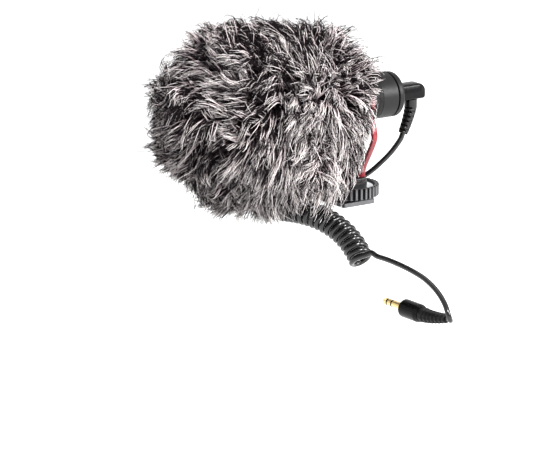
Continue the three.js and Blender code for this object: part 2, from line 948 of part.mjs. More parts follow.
// Least gap between turns, measured on the centreline's points.
function coilGap() {
  let least = Infinity;
  const apart = Math.round(coilSteps / 2);
  for (let i = 0; i < coilPoints.length; i++) {
    for (let j = i + apart; j < coilPoints.length; j++) {
      const line = new THREE.Line3(coilPoints[j - 1], coilPoints[j]);
      const near = line.closestPointToPoint(coilPoints[i], true, new THREE.Vector3());
      least = Math.min(least, near.distanceTo(coilPoints[i]) - cordDiameter);
    }
  }
  return least;
}

console.log(`coil: ${coilTurns.toFixed(2)} turns, least gap to itself ${coilGap().toFixed(2)} mm`);

// Points that carry a lead straight on from a face, one seat away from it.
function leadFrom(end, before) {
  const along = new THREE.Vector3().subVectors(end, before).normalize();
  return [seat, seat + cordDiameter / 2, seat + cordDiameter].map((distance) =>
    end.clone().addScaledVector(along, distance).toArray(),
  );
}

function reliefEnd(curve) {
  const end = curve.getPointAt(1);
  return leadFrom(end, end.clone().sub(curve.getTangentAt(1)));
}

function lead(points) {
  return tubeAlong(points, cordDiameter / 2, leadSides, cordDiameter * leadStep);
}

const nearLead = [
  ...reliefEnd(plugReliefCurve),
  ...nearLeadRoute,
  ...leadFrom(coilPoints[0], coilPoints[1]).reverse(),
];
const farLead = [
  ...leadFrom(coilPoints.at(-1), coilPoints.at(-2)),
  ...farLeadRoute,
  ...reliefEnd(farReliefCurve).reverse(),
];

// Straight grip of the far plug, along Y before it is turned towards +X.
function farGrip() {
  const bevel = farGripRadius / 4;
  return turned([
    [0, 0],
    [farGripRadius - bevel, 0],
    [farGripRadius, bevel],
    [farGripRadius, farGripLength - bevel * 2],
    [farCollarRadius, farGripLength],
    [0, farGripLength],
  ]);
}

// The fur's outline, blunter than an ellipse.
function furOutline() {
  const power = 2 / furOutlinePower;
  const last = Math.PI - Math.asin((furRearRadius / furRadius) ** (1 / power));
  const rearReach = (furRear - furCentre) / Math.abs(Math.cos(last)) ** power;
  const points = [];
  for (let i = 0; i <= shellSteps; i++) {
    const angle = (last * i) / shellSteps;
    const along = Math.cos(angle);
    const reach = along > 0 ? -furFrontReach : rearReach;
    points.push([
      furRadius * Math.sin(angle) ** power,
      furCentre + reach * Math.abs(along) ** power,
    ]);
  }
  return points;
}

// Fur with the room that its lining, the clip and the shock mount take from it.
function windshieldFur() {
  const outer = furOutline();
  const inner = backingOutline(-seat);
  const profile = [...outer, [furBore, furRear], [furBore, neckY], ...inner.reverse()];
  const length = furRear - neckY + overrun;
  const depth = furRadius + overrun;
  const parting = box(furPartingWidth, length, depth, 0, neckY + length / 2, -depth / 2);
  return cut(turned(profile, fineSegments), [parting]);
}

// The knitted backing's outline, moved inwards by an inset.
function backingOutline(inset, rear = neckY) {
  return shellOutline(
    backingRadius - inset,
    backingHalfLength - inset,
    backingCentre,
    rear,
    liningSteps,
  );
}

function windshieldBacking() {
  const inner = backingOutline(backingThickness);
  return turned([...backingOutline(0), ...inner.reverse()], liningSegments);
}

function windshieldFoam() {
  const bore = micRadius + seat;
  const outer = backingOutline(backingThickness + seat, foamRear);
  const front = micFront - seat;
  return turned([...outer, [bore, foamRear], [bore, front], [0, front]], liningSegments);
}

function windshieldHem() {
  const inner = micRadius + seat;
  return tubeAlongY(inner, inner + hemThickness, neckY + seat, neckY + seat + hemLength);
}

const microphone = new THREE.Group();
const onAxis = [0, 0, axisHeight];

microphone.add(
  mesh("shoe_foot", shoeFoot(), bareSteel),
  mesh("threaded_stud", threadedStud(), bareSteel),
  mesh("clamp_washer", clampWasher(), mouldedBlack),
  mesh("thumb_wheel", thumbWheel(), mouldedBlack),
  mesh("wheel_insert", wheelInsert(), brass),
  mesh("mount_base", mountBase(), mouldedBlack),
);

for (const [name, y] of lyrePlaces) {
  microphone.add(
    group([0, y, 0], [
      mesh(`${name}_lyre`, lyre(), lyreRed),
      mesh(`${name}_lyre_screw`, lyreScrew(), bareSteel),
    ]),
  );
}

microphone.add(
  group(onAxis, [
    mesh("body_tube", bodyTube(), satinBlack),
    mesh("front_ring", frontRing(), satinBlack),
    mesh("front_grille", frontGrille(), bareSteel),
    mesh("slot_screen", slotScreen(), foamBlack),
    mesh("capsule_can", capsuleCan(), bareSteel),
    mesh("capsule_boot", capsuleBoot(), rubberBlack),
    mesh("capsule_wire_signal", capsuleWire(1), wireRed),
    mesh("capsule_wire_ground", capsuleWire(-1), glossBlack),
    mesh("circuit_board", circuitBoard(), boardGreen),
    mesh("output_chip", outputChip(), mouldedBlack),
    mesh("filter_capacitor", filterCapacitor(), glossBlack),
    mesh("jack_socket", jackSocket(), mouldedBlack),
    mesh("rear_cap", rearCap(), satinBlack),
    mesh("rear_band", rearBand(), rubberBlack),
  ]),
  group(onAxis, [
    mesh("windshield_fur", windshieldFur(), furGrey),
    mesh("windshield_backing", windshieldBacking(), knitGrey),
    mesh("windshield_foam", windshieldFoam(), foamBlack),
    mesh("windshield_hem", windshieldHem(), knitGrey),
  ]),
  group([0, micRear + seat, axisHeight], [
    mesh("plug_housing", plugHousing(), mouldedBlack),
    ...plugContacts("plug"),
  ]),
  mesh(
    "plug_relief",
    ribbedRelief(
      plugReliefCurve,
      reliefCollarRadius,
      reliefTipRadius,
      reliefCollarLength,
      reliefRibs,
    ),
    rubberBlack,
  ),
  mesh("cord_lead_near", lead(nearLead), glossBlack),
  mesh("cord_coil", cordCoil(), glossBlack),
  mesh("cord_lead_far", lead(farLead), glossBlack),
);

// The far plug lies along X, its contacts towards the camera side.
const [farX, farY, farZ] = farPlugPlace;
const farPlug = group([farX - seat - farGripLength, farY, farZ], [
  mesh("far_plug_grip", farGrip(), mouldedBlack),
  ...plugContacts("far_plug"),
]);
farPlug.rotation.z = -Math.PI / 2;
microphone.add(
  farPlug,
  mesh(
    "far_plug_relief",
    ribbedRelief(farReliefCurve, farCollarRadius, farTipRadius, farCollarLength, farRibs),
    rubberBlack,
  ),
);

export default microphone;
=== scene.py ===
"""Looks of an on-camera microphone in a fur windshield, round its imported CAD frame, in metres."""

import json
from math import atan2, cos, hypot, pi, radians, sin, sqrt, tau
from types import SimpleNamespace

import bpy
import numpy as np
from mathutils import Matrix, Vector
from numpy.linalg import norm


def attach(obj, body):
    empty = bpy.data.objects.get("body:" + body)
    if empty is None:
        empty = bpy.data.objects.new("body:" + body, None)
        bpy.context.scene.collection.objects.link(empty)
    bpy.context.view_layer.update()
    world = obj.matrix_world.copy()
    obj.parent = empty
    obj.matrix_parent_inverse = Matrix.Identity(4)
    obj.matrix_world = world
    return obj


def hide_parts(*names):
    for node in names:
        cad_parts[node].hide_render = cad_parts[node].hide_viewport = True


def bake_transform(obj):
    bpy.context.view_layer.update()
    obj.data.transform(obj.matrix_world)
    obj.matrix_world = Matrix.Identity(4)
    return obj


MM = 0.001
SHARP_EDGE = radians(32)
EDGE_SUPPORT = 0.1  # keeps the shading flat up to a rounded corner
BEVELLED_EDGE = radians(50)

# ---- camera: the picture's own view
AZIMUTH = radians(55)
ELEVATION = radians(14.3)
PICTURE = (550, 450)
FOCAL_PIXELS = 3600
METRE_PIXELS = 2150
AIM_POINT = Vector((0, 0, 8.9)) * MM  # top edge of the thumb wheel's middle
AIM_PIXEL = (348.1, 183.2)
SENSOR = 36
RIGHT = Vector((cos(AZIMUTH), sin(AZIMUTH), 0))
UP = Vector((-sin(AZIMUTH) * sin(ELEVATION), cos(AZIMUTH) * sin(ELEVATION), cos(ELEVATION)))
FORWARD = UP.cross(RIGHT)

# ---- tube, cap, wheel and base, as in the CAD source, in millimetres where MM isn't named
MIC_AXIS = 48.5 * MM
TUBE_RADIUS = 10.6
TUBE_INNER = 9.7
TUBE_FRONT = -51.1
TUBE_REAR = 21.4
TUBE_CORNER = 0.15
BAND = (10.3, 12.7)  # front and rear of the rubber band's seat
BAND_FLOOR = 10.05
SLOT = (3, 7.5)  # width and length
SLOT_CUT = (9, 12)  # the cutters' inner and outer reach
SLOT_PLACES = (-45.5, -36)
SLOTS_ROUND = 6
CAP_FRONT = 22.2
CAP_REAR = 25.4
CAP_FILLET = 1.5
CAP_EDGE = 0.12
CAP_SPIGOT = (9.4, 17.2)  # radius and front
CAP_BORE = 4.05
CAP_BORE_EDGE = 0.3
WHEEL_RADIUS = 14.5
WHEEL_BOTTOM = 3.9
WHEEL_TOP = 9.1
WHEEL_HOLE = 6.86
WHEEL_POCKET = 9.6
WHEEL_WEB = (4.9, 6.2)  # underside and top
WHEEL_RIM = (11.7, 12.5)  # inner radius at the web and at the top
WHEEL_CORNER = 0.4
WHEEL_RIBS = 36
RIB_STEPS = 12
RIB_DEPTH = 1
RIB_FLANK = (0.36, 0.1)  # where a groove starts and is deepest, in ribs from its middle
RIB_FADE = (1, 0.35)  # depths where the grooves end, and are full
RIB_HIGHLIGHT_DEPTH = 0.42  # faces nearer the surface than this are the ribs' tops, lighter as a painted highlight
RIB_SHADE_DEPTH = 1.1  # and steep ones nearer than this are the grooves, darker as painted shade
# a bright sloped ring on the wheel's web, a painted reflection of the white surroundings
REFLECTION_RING = ((9.15, 6.22), (11.6, 6.22), (11.6, 7.9), (11.3, 7.9), (9.15, 6.6))  # radius and height
REFLECTION_RING_CORNER = 0.1
FLANGE_RADIUS = 8.8
FLANGE = (7.3, 10.6)  # underside and top
FLANGE_SOCKET = (5.06, 10.3)  # radius and top
FLANGE_CORNER = 0.45
PINHOLE = 0.4  # closes a turned piece at its axis
RAIL = (9, 25.7)  # width and length
RAIL_CORNER = 1.2
RAIL_EDGE = 0.3
RAIL_HEIGHTS = (10.2, 11.4)
RAIL_MIDDLE = -5.25
HOUSING_SIZE = 7.4
HOUSING_LENGTH = 16.6
HOUSING_ROUND = 4
HOUSING_CORNER = 1.4
HOUSING_EDGE = 1.15
HOUSING_FRONT = 25.7
RELIEF_COLLAR = 3
RELIEF_TIP = 2.3
COLLAR_SHARE = 0.2
RELIEF_RIBS = 6
RELIEF_GROOVE = 1.15
GROOVE_WALL = (-0.05, 0.3)  # of a groove's wave, where it starts and where it is full
GROOVE_FIRST = (0.02, 0.3)  # and along the first rib
GROOVE_BRIDGE = (0.05, 0.4)  # and from the bridges between the two sides
RELIEF_POINTS = 141
RELIEF_SIDES = 32
LYRES = {"rear_lyre": 5 * MM, "front_lyre": -15.5 * MM}
TURNED_SIDES = 144
HIDDEN_SIDES = 120

# ---- cord, as in the CAD source (millimetres)
CORD_DIAMETER = 2.2
DRAWN_CORD = 2.5  # as thick as the photograph shows it
SEAT = 0.3
# each relief's start, length, and shape as shares of that length
NEAR_SHAPE = ((0, 0, 0), (0, -0.01, -0.26), (-0.01, -0.11, -0.61), (-0.035, -0.245, -0.965))
NEAR_RELIEF = ((0, 36.1, 44.5), 16.6, NEAR_SHAPE)
FAR_SHAPE = ((0, 0, 0), (0.3, 0, 0.017), (0.65, 0, 0.064), (0.994, 0, 0.122))
FAR_RELIEF = ((64.8, -5, -38.8), 17.2, FAR_SHAPE)
COIL_DIAMETER = 11.8
COIL_TURNS = 16.55
FIRST_TURN = 0.38
COIL_STEPS = 28
SOURCE_STEPS = 8
AXIS_STEPS = 600
LEAD_STEPS = 5
RELIEF_STEPS = 24
CORD_SIDES = 14
COIL_AXIS = ((-14.5, -26.5, -2.5), (2.2, -25.5, -0.4), (14.8, -12.9, -3.2), (30.9, -14.6, -19.6))
NEAR_ROUTE = (
    (-3.1, 29.9, 22.1), (-4.9, 28.5, 19), (-6.6, 26.6, 16.1), (-8.4, 24.5, 13.3),
    (-10.4, 22.1, 10.4), (-12.7, 19.7, 7.8), (-15.3, 16.6, 5.4), (-17.8, 12.4, 3.6),
    (-20, 6.3, 2.1), (-20.9, -2, 1.2), (-19.6, -9.5, 0), (-17.4, -15, -1.6),
)
FAR_ROUTE = (
    (40, -13, -15.5), (45, -12, -15.9), (50, -11.1, -16.4), (57, -9.8, -17.5),
    (63.5, -8.8, -18.8), (69, -7.9, -20.4), (75, -7.5, -22.8), (80.5, -7.7, -25.6),
    (85.2, -8.3, -28.8), (88.4, -9, -32.2), (88.9, -8.3, -35), (86.9, -6.3, -36.3),
)


# ---- mesh helpers


def link(obj):
    bpy.context.scene.collection.objects.link(obj)
    return obj


def mesh_object(name, points, faces, smooth=True):
    mesh = bpy.data.meshes.new(name)
    mesh.from_pydata([tuple(map(float, p)) for p in points], [], faces)
    mesh.validate()
    mesh.polygons.foreach_set("use_smooth", [smooth] * len(mesh.polygons))
    mesh.update()
    return link(bpy.data.objects.new(name, mesh))


def quad_object(name, points, quads, uv=None):
    """A smooth object from arrays, with the map OFBake where uv is given."""
    mesh = bpy.data.meshes.new(name)
    mesh.vertices.add(len(points))
    mesh.vertices.foreach_set("co", np.asarray(points, np.float32).ravel())
    mesh.loops.add(quads.size)
    mesh.loops.foreach_set("vertex_index", np.asarray(quads, np.int32).ravel())
    mesh.polygons.add(len(quads))
    mesh.polygons.foreach_set("loop_start", np.arange(0, quads.size, 4, dtype=np.int32))
    mesh.polygons.foreach_set("use_smooth", np.ones(len(quads), bool))
    if uv is not None:
        layer = mesh.uv_layers.new(name="OFBake")
        layer.data.foreach_set("uv", np.asarray(uv, np.float32).ravel())
    mesh.update(calc_edges=True)
    return link(bpy.data.objects.new(name, mesh))


def unit(v):
    return v / np.maximum(norm(v, axis=-1, keepdims=True), 1e-12)


def frames(points):
    """Tangents, and two side vectors that don't twist, at each of a line's points."""
    tangents = unit(np.gradient(points, axis=0))
    side = np.cross(tangents[0], (0.31, 0.17, 0.93))
    sides = []
    for tangent in tangents:
        side = side - tangent * (side @ tangent)
        side = side / norm(side)
        sides.append(side)
    sides = np.array(sides)
    return tangents, sides, np.cross(tangents, sides)


def ring_faces(rings, sides, closed=False):
    """Quads from each ring of points to the next, and back to the first where closed."""
    faces = []
    for i in range(rings if closed else rings - 1):
        here, there = i * sides, (i + 1) % rings * sides
        for k in range(sides):
            n = (k + 1) % sides
            faces.append((here + k, here + n, there + n, there + k))
    return faces


def swept(name, points, section):
    """A closed tube along points. section(i) gives the ring's offsets at point i."""
    _, across, other = frames(points)
    rings = []
    for i, (p, a, b) in enumerate(zip(points, across, other)):
        offsets = section(i)
        rings.append(p + offsets[:, :1] * a + offsets[:, 1:] * b)
    sides = len(rings[0])
    last = (len(rings) - 1) * sides
    ends = [tuple(range(sides - 1, -1, -1)), tuple(range(last, last + sides))]
    faces = ring_faces(len(rings), sides) + ends
    return mesh_object(name, np.concatenate(rings), faces)


def arc(middle, radius, start, steps):
    """A quarter circle's points from an angle on."""
    angles = start + np.linspace(0, pi / 2, steps + 1)
    return [(middle[0] + radius * cos(a), middle[1] + radius * sin(a)) for a in angles]


def joined(name, objects):
    points, faces = [], []
    for obj in objects:
        base = len(points)
        points += [tuple(v.co) for v in obj.data.vertices]
        faces += [tuple(base + v for v in p.vertices) for p in obj.data.polygons]
        bpy.data.meshes.remove(obj.data)  # and the object with it
    return mesh_object(name, points, faces)


def mm(profile):
    return np.array(profile, float) * MM


def smooth(x, low, high):
    """0 at low, 1 at high and a soft step between."""
    t = np.clip((x - low) / (high - low), 0, 1)
    return t * t * (3 - 2 * t)


def circle(radius, sides):
    angles = np.arange(sides) * tau / sides
    return np.stack([radius * np.cos(angles), radius * np.sin(angles)], 1)


def turned(name, profile, sides, wobble=None, upright=False):
    """A closed ring of (radius, place) pairs, moved by wobble, round the microphone or upright."""
    profile = np.array(profile, float)
    points = []
    for k in range(sides):
        angle = tau * k / sides
        c, s = cos(angle), sin(angle)
        ring = profile if wobble is None else profile + wobble(profile, angle)
        for r, y in ring:
            points.append((r * c, r * s, y) if upright else (r * c, y, MIC_AXIS + r * s))
    return mesh_object(name, points, ring_faces(sides, len(profile), closed=True))


def shaped(obj, kind=None, **settings):
    """Applies a modifier, if any, and keeps sharp edges crisp."""
    if kind:
        modifier = obj.modifiers.new(kind.lower(), kind)
        for key, value in settings.items():
            setattr(modifier, key, value)
    final = obj.evaluated_get(bpy.context.evaluated_depsgraph_get())
    made = bpy.data.meshes.new_from_object(final)
    obj.modifiers.clear()
    old, obj.data = obj.data, made
    bpy.data.meshes.remove(old)
    obj.data.polygons.foreach_set("use_smooth", [True] * len(obj.data.polygons))
    obj.data.set_sharp_from_angle(angle=SHARP_EDGE)
    return obj


def bevelled(obj, width, segments):
    """Rounds a prism's long edges by a width in millimetres."""
    edges = {"limit_method": "ANGLE", "angle_limit": BEVELLED_EDGE}
    return shaped(obj, "BEVEL", width=width * MM, segments=segments, harden_normals=True, **edges)


def rounded(profile, radius, steps=3):
    """A closed profile of (radius, place) pairs with every corner rounded."""
    profile = np.array(profile, float)
    out = []
    for before, here, after in zip(np.roll(profile, 1, 0), profile, np.roll(profile, -1, 0)):
        a, b = before - here, after - here
        size = min(radius, norm(a) * 0.45, norm(b) * 0.45)
        a, b = here + unit(a) * size, here + unit(b) * size
        out.append(a + (a - here) * EDGE_SUPPORT)
        for t in np.linspace(0, 1, steps + 1):
            out.append((1 - t) ** 2 * a + 2 * (1 - t) * t * here + t * t * b)
        out.append(b + (b - here) * EDGE_SUPPORT)
    return np.array(out)


def prism(name, outline, low, high, place):
    """A solid between two offsets of an outline. place(u, v, w) puts its points."""
    count = len(outline)
    points = [place(u, v, w) for w in (low, high) for u, v in outline]
    ends = [tuple(range(count - 1, -1, -1)), tuple(range(count, 2 * count))]
    return mesh_object(name, points, ends + ring_faces(2, count))


def rectangle(width, height, corner, steps=6):
    x, y = width / 2 - corner, height / 2 - corner
    middles = ((x, y), (-x, y), (-x, -y), (x, -y))
    corners = (arc(middle, corner, k * pi / 2, steps) for k, middle in enumerate(middles))
    return [point for points in corners for point in points]


def catmull_rom(points, per_span):
    """A centripetal Catmull-Rom curve, as the CAD source draws its leads."""
    p = np.array(points, float)
    p = np.vstack([2 * p[0] - p[1], p, 2 * p[-1] - p[-2]])
    out = []
    shares = np.arange(per_span) / per_span
    for a, b, c, d in zip(p, p[1:], p[2:], p[3:]):
        spans = ((a, b), (b, c), (c, d))
        before, here, after = (sqrt(norm(y - x)) for x, y in spans)
        start = ((b - a) / before - (c - a) / (before + here) + (c - b) / here) * here
        end = ((c - b) / here - (d - b) / (here + after) + (d - c) / after) * here
        square, cube = 3 * (c - b) - 2 * start - end, 2 * (b - c) + start + end
        out += [b + start * s + square * s**2 + cube * s**3 for s in shares]
    return np.array(out + [p[-2]])


def length_of(points):
    return float(norm(np.diff(points, axis=0), axis=1).sum())


def by_length(points, shares):
    """Points at shares of a line's length."""
    run = np.concatenate([[0], np.cumsum(norm(np.diff(points, axis=0), axis=1))])
    return np.stack([np.interp(shares * run[-1], run, points[:, k]) for k in range(3)], 1)


# ---- materials

# strand colours from root to tip: the dark roots are partly the fur's own colour and partly painted
# shade deep in the fur
DARK_HAIR_ROOT_SHADE = (
    (0.0, (0.003, 0.002, 0.0025)), (0.4, (0.005, 0.003, 0.0036)),
    (0.8, (0.0105, 0.0068, 0.0082)), (1.0, (0.018, 0.012, 0.0145)),
)
PALE_HAIR_ROOT_SHADE = (
    (0.0, (0.012, 0.009, 0.01)), (0.28, (0.085, 0.054, 0.062)),
    (0.52, (0.8, 0.68, 0.69)), (0.75, (1, 0.93, 0.915)),
    (1.0, (1, 0.945, 0.93)),
)
HAIR_FLECKS = ((0.3, (0.82, 0.82, 0.84)), (0.7, (1, 0.99, 0.98)))
MIX_COLOURS, MIX_RESULT = (6, 7), 2  # the mix node's colour sockets
KNIT = ((0.3, (0.014, 0.011, 0.012)), (0.7, (0.05, 0.042, 0.044)))
# foam colour, darker in the pores as painted shade
FOAM_PORE_SHADE = ((0.1, (0.008, 0.008, 0.008)), (0.6, (0.045, 0.045, 0.047)))
# colour, roughness, and what differs from a plain finish
FINISHES = {
    "body_satin": ((0.0025, 0.0024, 0.0026), 0.45, dict(grain=0.12, depth=0.004, gloss=0.24)),
    "screen_black": ((0.01, 0.01, 0.01), 0.8, dict(grain=0.2, depth=0.05)),
    "mount_black": ((0.014, 0.014, 0.015), 0.3, dict(grain=0.25, depth=0.015, gloss=0.3)),
    # the thumb wheel's rib tops, lighter as a painted highlight, and its grooves, darker as painted
    # shade
    "wheel_satin": ((0.105, 0.105, 0.11), 0.3, dict(metal=0.75, grain=0.25, gloss=0.4)),
    "wheel_groove": ((0.004, 0.004, 0.004), 0.7, dict(grain=0.25, gloss=0.05)),
    # painted reflection: the bright crescent on the thumb wheel's web
    "washer_bright": ((0.78, 0.78, 0.8), 0.4, dict(metal=0.2, grain=0.2, depth=0.005, tone=0.05)),
    "plug_black": ((0.0035, 0.0035, 0.004), 0.24, dict(grain=0.2, depth=0.008, gloss=0.1)),
    "rubber_black": ((0.009, 0.009, 0.009), 0.5, dict(depth=0.03, gloss=0.12)),
    "relief_rubber": ((0.005, 0.005, 0.005), 0.2, dict(grain=0.4, gloss=0.3)),
    "cord_black": (
        (0.003, 0.003, 0.0032),
        0.24,
        dict(grain=0.5, depth=0.012, gloss=0.4, coat=0.15),
    ),
    "lyre_red": ((0.2, 0.018, 0.026), 0.28, dict(grain=0.4, depth=0.02, tone=0.14, gloss=0.4)),
    "board_green": ((0.01, 0.09, 0.03), 0.35, dict(grain=0.6, depth=0.02)),
    "wire_red": ((0.5, 0.02, 0.02), 0.4, {}),
    "wire_black": ((0.012, 0.012, 0.012), 0.4, {}),
}
# colour and roughness
BRUSHED = {
    "grille_steel": ((0.42, 0.42, 0.43), 0.35),
    "capsule_metal": ((0.55, 0.55, 0.53), 0.3),
    "foot_steel": ((0.11, 0.11, 0.115), 0.4),
    "screw_steel": ((0.45, 0.45, 0.45), 0.3),
    "insert_brass": ((0.62, 0.45, 0.2), 0.3),
    "contact_gold": ((0.85, 0.62, 0.28), 0.2),
}


def put(node, values):
    """Sets a node's sockets, each to one value or from another node's output."""
    for socket, value in values.items():
        if isinstance(value, bpy.types.NodeSocket):
            node.id_data.links.new(value, node.inputs[socket])
        else:
            node.inputs[socket].default_value = value
    return node


def add(tree, kind, values, **settings):
    node = tree.nodes.new(kind)
    for key, value in settings.items():
        setattr(node, key, value)
    return put(node, values)


def place_on(tree):
    return add(tree, "ShaderNodeTexCoord", {}).outputs["Object"]


def noise(tree, vector, scale, detail=3, rough=0.55):
    values = {"Vector": vector, "Scale": scale, "Detail": detail, "Roughness": rough}
    return add(tree, "ShaderNodeTexNoise", values).outputs["Fac"]


def ramp(tree, factor, stops):
    node = add(tree, "ShaderNodeValToRGB", {"Fac": factor})
    ends = node.color_ramp.elements
    while len(ends) < len(stops):
        ends.new(0.5)
    for element, (place, colour) in zip(ends, stops):
        element.position = place
        element.color = (*colour, 1)
    return node.outputs["Color"]


def spread(tree, factor, low, high, start=0.3, end=0.7):
    """Maps a factor from start to end on to low to high."""
    values = {"Value": factor, "From Min": start, "From Max": end, "To Min": low, "To Max": high}
    return add(tree, "ShaderNodeMapRange", values).outputs["Result"]


def bump(tree, height, strength, distance):
    values = {"Height": height, "Strength": strength, "Distance": distance}
    return add(tree, "ShaderNodeBump", values).outputs["Normal"]


def mixed(tree, factor, first, second, blend="MIX"):
    values = {"Factor": factor, MIX_COLOURS[0]: first, MIX_COLOURS[1]: second}
    mix = add(tree, "ShaderNodeMix", values, data_type="RGBA", blend_type=blend)
    return mix.outputs[MIX_RESULT]


def material(name, surface, *args, **more):
    """A material whose shader has what surface(tree, ...) says."""
    mat = bpy.data.materials.new(name)
    mat.use_nodes = True
    tree = mat.node_tree
    put(tree.nodes["Principled BSDF"], surface(tree, *args, **more))
    return mat


def tint(colour, factor):
    return tuple(min(1, c * factor) for c in colour)


def plain(tree, colour, rough, metal=0.0, grain=0.3, depth=0.01, tone=0.18, gloss=0.22, coat=0.0):
    """Mottled colour, uneven roughness and a fine grain of the given size in mm."""
    place = place_on(tree)
    stops = [(0.3, tint(colour, 1 - tone)), (0.7, tint(colour, 1 + tone))]
    smudge = noise(tree, place, 420, detail=5)
    fine = noise(tree, place, 1 / (grain * MM), detail=2)
    surface = {
        "Base Color": ramp(tree, noise(tree, place, 160, detail=4), stops),
        "Roughness": spread(tree, smudge, rough * 0.88, min(1, rough * 1.14)),
        "Normal": bump(tree, fine, 0.5, depth * MM),
        "Metallic": metal,
        "Specular IOR Level": gloss,
    }
    if coat:
        surface |= {"Coat Weight": coat, "Coat Roughness": 0.12}
    return surface


def hair(tree):
    """Each strand's column of the map gives its tone, and its height gives root to tip, the roots
    darkened partly as painted shade.
    """
    uv = add(tree, "ShaderNodeUVMap", {}, uv_map="OFBake").outputs["UV"]
    parts = add(tree, "ShaderNodeSeparateXYZ", {"Vector": uv}).outputs
    dark, pale = ramp(tree, parts["Y"], DARK_HAIR_ROOT_SHADE), ramp(tree, parts["Y"], PALE_HAIR_ROOT_SHADE)
    colour = mixed(tree, spread(tree, parts["X"], 0, 1, 0.4, 0.8), dark, pale)
    fleck = noise(tree, uv, 90, detail=2)
    return {
        "Base Color": mixed(tree, 1, colour, ramp(tree, fleck, HAIR_FLECKS), "MULTIPLY"),
        "Roughness": spread(tree, fleck, 0.5, 0.7),
        "Specular IOR Level": 0.08,
    }


def knit(tree):
    """Dark backing knit with rows of loops."""
    place = place_on(tree)
    wave = {"Vector": place, "Scale": 330, "Distortion": 3}
    loops = add(tree, "ShaderNodeTexWave", wave).outputs["Fac"]
    return {
        "Base Color": ramp(tree, noise(tree, place, 900), KNIT),
        "Normal": bump(tree, loops, 0.6, 0.2 * MM),
        "Roughness": 0.95,
        "Sheen Weight": 0.3,
    }


def foam(tree):
    """Open cells, with painted shade darkening their pores."""
    cells = add(tree, "ShaderNodeTexVoronoi", {"Vector": place_on(tree), "Scale": 1500})
    pores = cells.outputs["Distance"]
    return {
        "Base Color": ramp(tree, pores, FOAM_PORE_SHADE),
        "Normal": bump(tree, pores, 0.8, 0.3 * MM),
        "Roughness": 1,
    }


def brushed(tree, colour, rough):
    """Turned metal with fine rings round the microphone's axis."""
    place = place_on(tree)
    stretch = {"Vector": place, "Scale": (1, 30, 1)}
    stretched = add(tree, "ShaderNodeMapping", stretch).outputs["Vector"]
    rings = noise(tree, stretched, 180, detail=4)
    stops = [(0.3, tint(colour, 0.85)), (0.7, tint(colour, 1.1))]
    return {
        "Base Color": ramp(tree, noise(tree, place, 120), stops),
        "Roughness": spread(tree, rings, rough * 0.8, rough * 1.25),
        "Normal": bump(tree, rings, 0.25, 0.01 * MM),
        "Metallic": 1,
    }


def make_materials():
    """A material for each of the record's slots, and four for pieces made here."""
    soft = {"fur": hair, "knit_backing": knit, "foam": foam}
    made = {name: material(name, surface) for name, surface in soft.items()}
    for name, (colour, rough, more) in FINISHES.items():
        made[name] = material(name, plain, colour, rough, **more)
    for name, finish in BRUSHED.items():
        made[name] = material(name, brushed, *finish)
    return made


def dress(obj, looks, slot):
    obj.data.materials.clear()
    obj.data.materials.append(looks[slot])
    return obj


def dress_cad(looks):
    """Gives each kept CAD node its slot's material."""
    for part in frame["record"]["subparts"]:
        node = frame["nodes"][part["node"]]
        for slot in node.material_slots:
            slot.material = looks[part["material_slot"]]


# ---- camera, floor and light

WORLD_LIGHT = 0.07
LIT_POINT = Vector((0, -25, 30)) * MM
FLOOR_HEIGHT = -120 * MM
FLOOR_SIZE = 12
FLOOR_LIFT = 0.7  # makes the floor white for the camera
# way (right, towards the viewer, up), distance and size in metres, and power in watts
LAMPS = {
    "key": ((0.4, 0.8, 0.6), 1.6, 0.34, 45),
    "side": ((0.88, 0.39, 0.3), 1.5, 0.6, 30),
    "fill": ((-0.9, 0.6, 0.25), 1.8, 1.2, 2.5),
    "top": ((0, 0.1, 1), 1.6, 0.9, 4),
}


def make_camera():
    distance = FOCAL_PIXELS / METRE_PIXELS
    offsets = ((a - p / 2) / FOCAL_PIXELS * distance for a, p in zip(AIM_PIXEL, PICTURE))
    across, down = offsets
    data = bpy.data.cameras.new("camera")
    data.sensor_width = SENSOR
    data.lens = FOCAL_PIXELS * SENSOR / PICTURE[0]
    camera = link(bpy.data.objects.new("camera", data))
    turn = Matrix((RIGHT, UP, -FORWARD)).transposed().to_4x4()
    place = AIM_POINT - FORWARD * distance - RIGHT * across + UP * down
    camera.matrix_world = Matrix.Translation(place) @ turn
    bpy.context.scene.camera = camera


def area_light(name, shares, distance, size, power):
    """A soft lamp that shines on LIT_POINT."""
    right, near, up = shares
    data = bpy.data.lights.new(name, "AREA")
    data.shape = "DISK"
    data.size = size
    data.energy = power
    lamp = link(bpy.data.objects.new(name, data))
    toward = (RIGHT * right - FORWARD * near + UP * up).normalized()
    lamp.location = LIT_POINT + toward * distance
    lamp.rotation_euler = toward.to_track_quat("Z", "Y").to_euler()


def seen_white(tree):
    """1 for rays that should see the plain white background, else 0."""
    rays = add(tree, "ShaderNodeLightPath", {}).outputs
    total = rays["Is Camera Ray"]
    for kind in ("Is Glossy Ray", "Is Transmission Ray"):
        both = {0: total, 1: rays[kind]}
        total = add(tree, "ShaderNodeMath", both, operation="MAXIMUM").outputs[0]
    return total


def make_world():
    """Soft light all round, and white behind."""
    world = bpy.data.worlds.new("world")
    bpy.context.scene.world = world
    world.use_nodes = True
    tree = world.node_tree
    level = spread(tree, seen_white(tree), WORLD_LIGHT, 1, 0, 1)
    put(tree.nodes["Background"], {"Color": (1, 1, 1, 1), "Strength": level})


def paper(tree):
    lift = spread(tree, seen_white(tree), 0, FLOOR_LIFT, 0, 1)
    return {
        "Base Color": (0.85, 0.85, 0.85, 1),
        "Roughness": 0.9,
        "Emission Color": (1, 1, 1, 1),
        "Emission Strength": lift,
    }


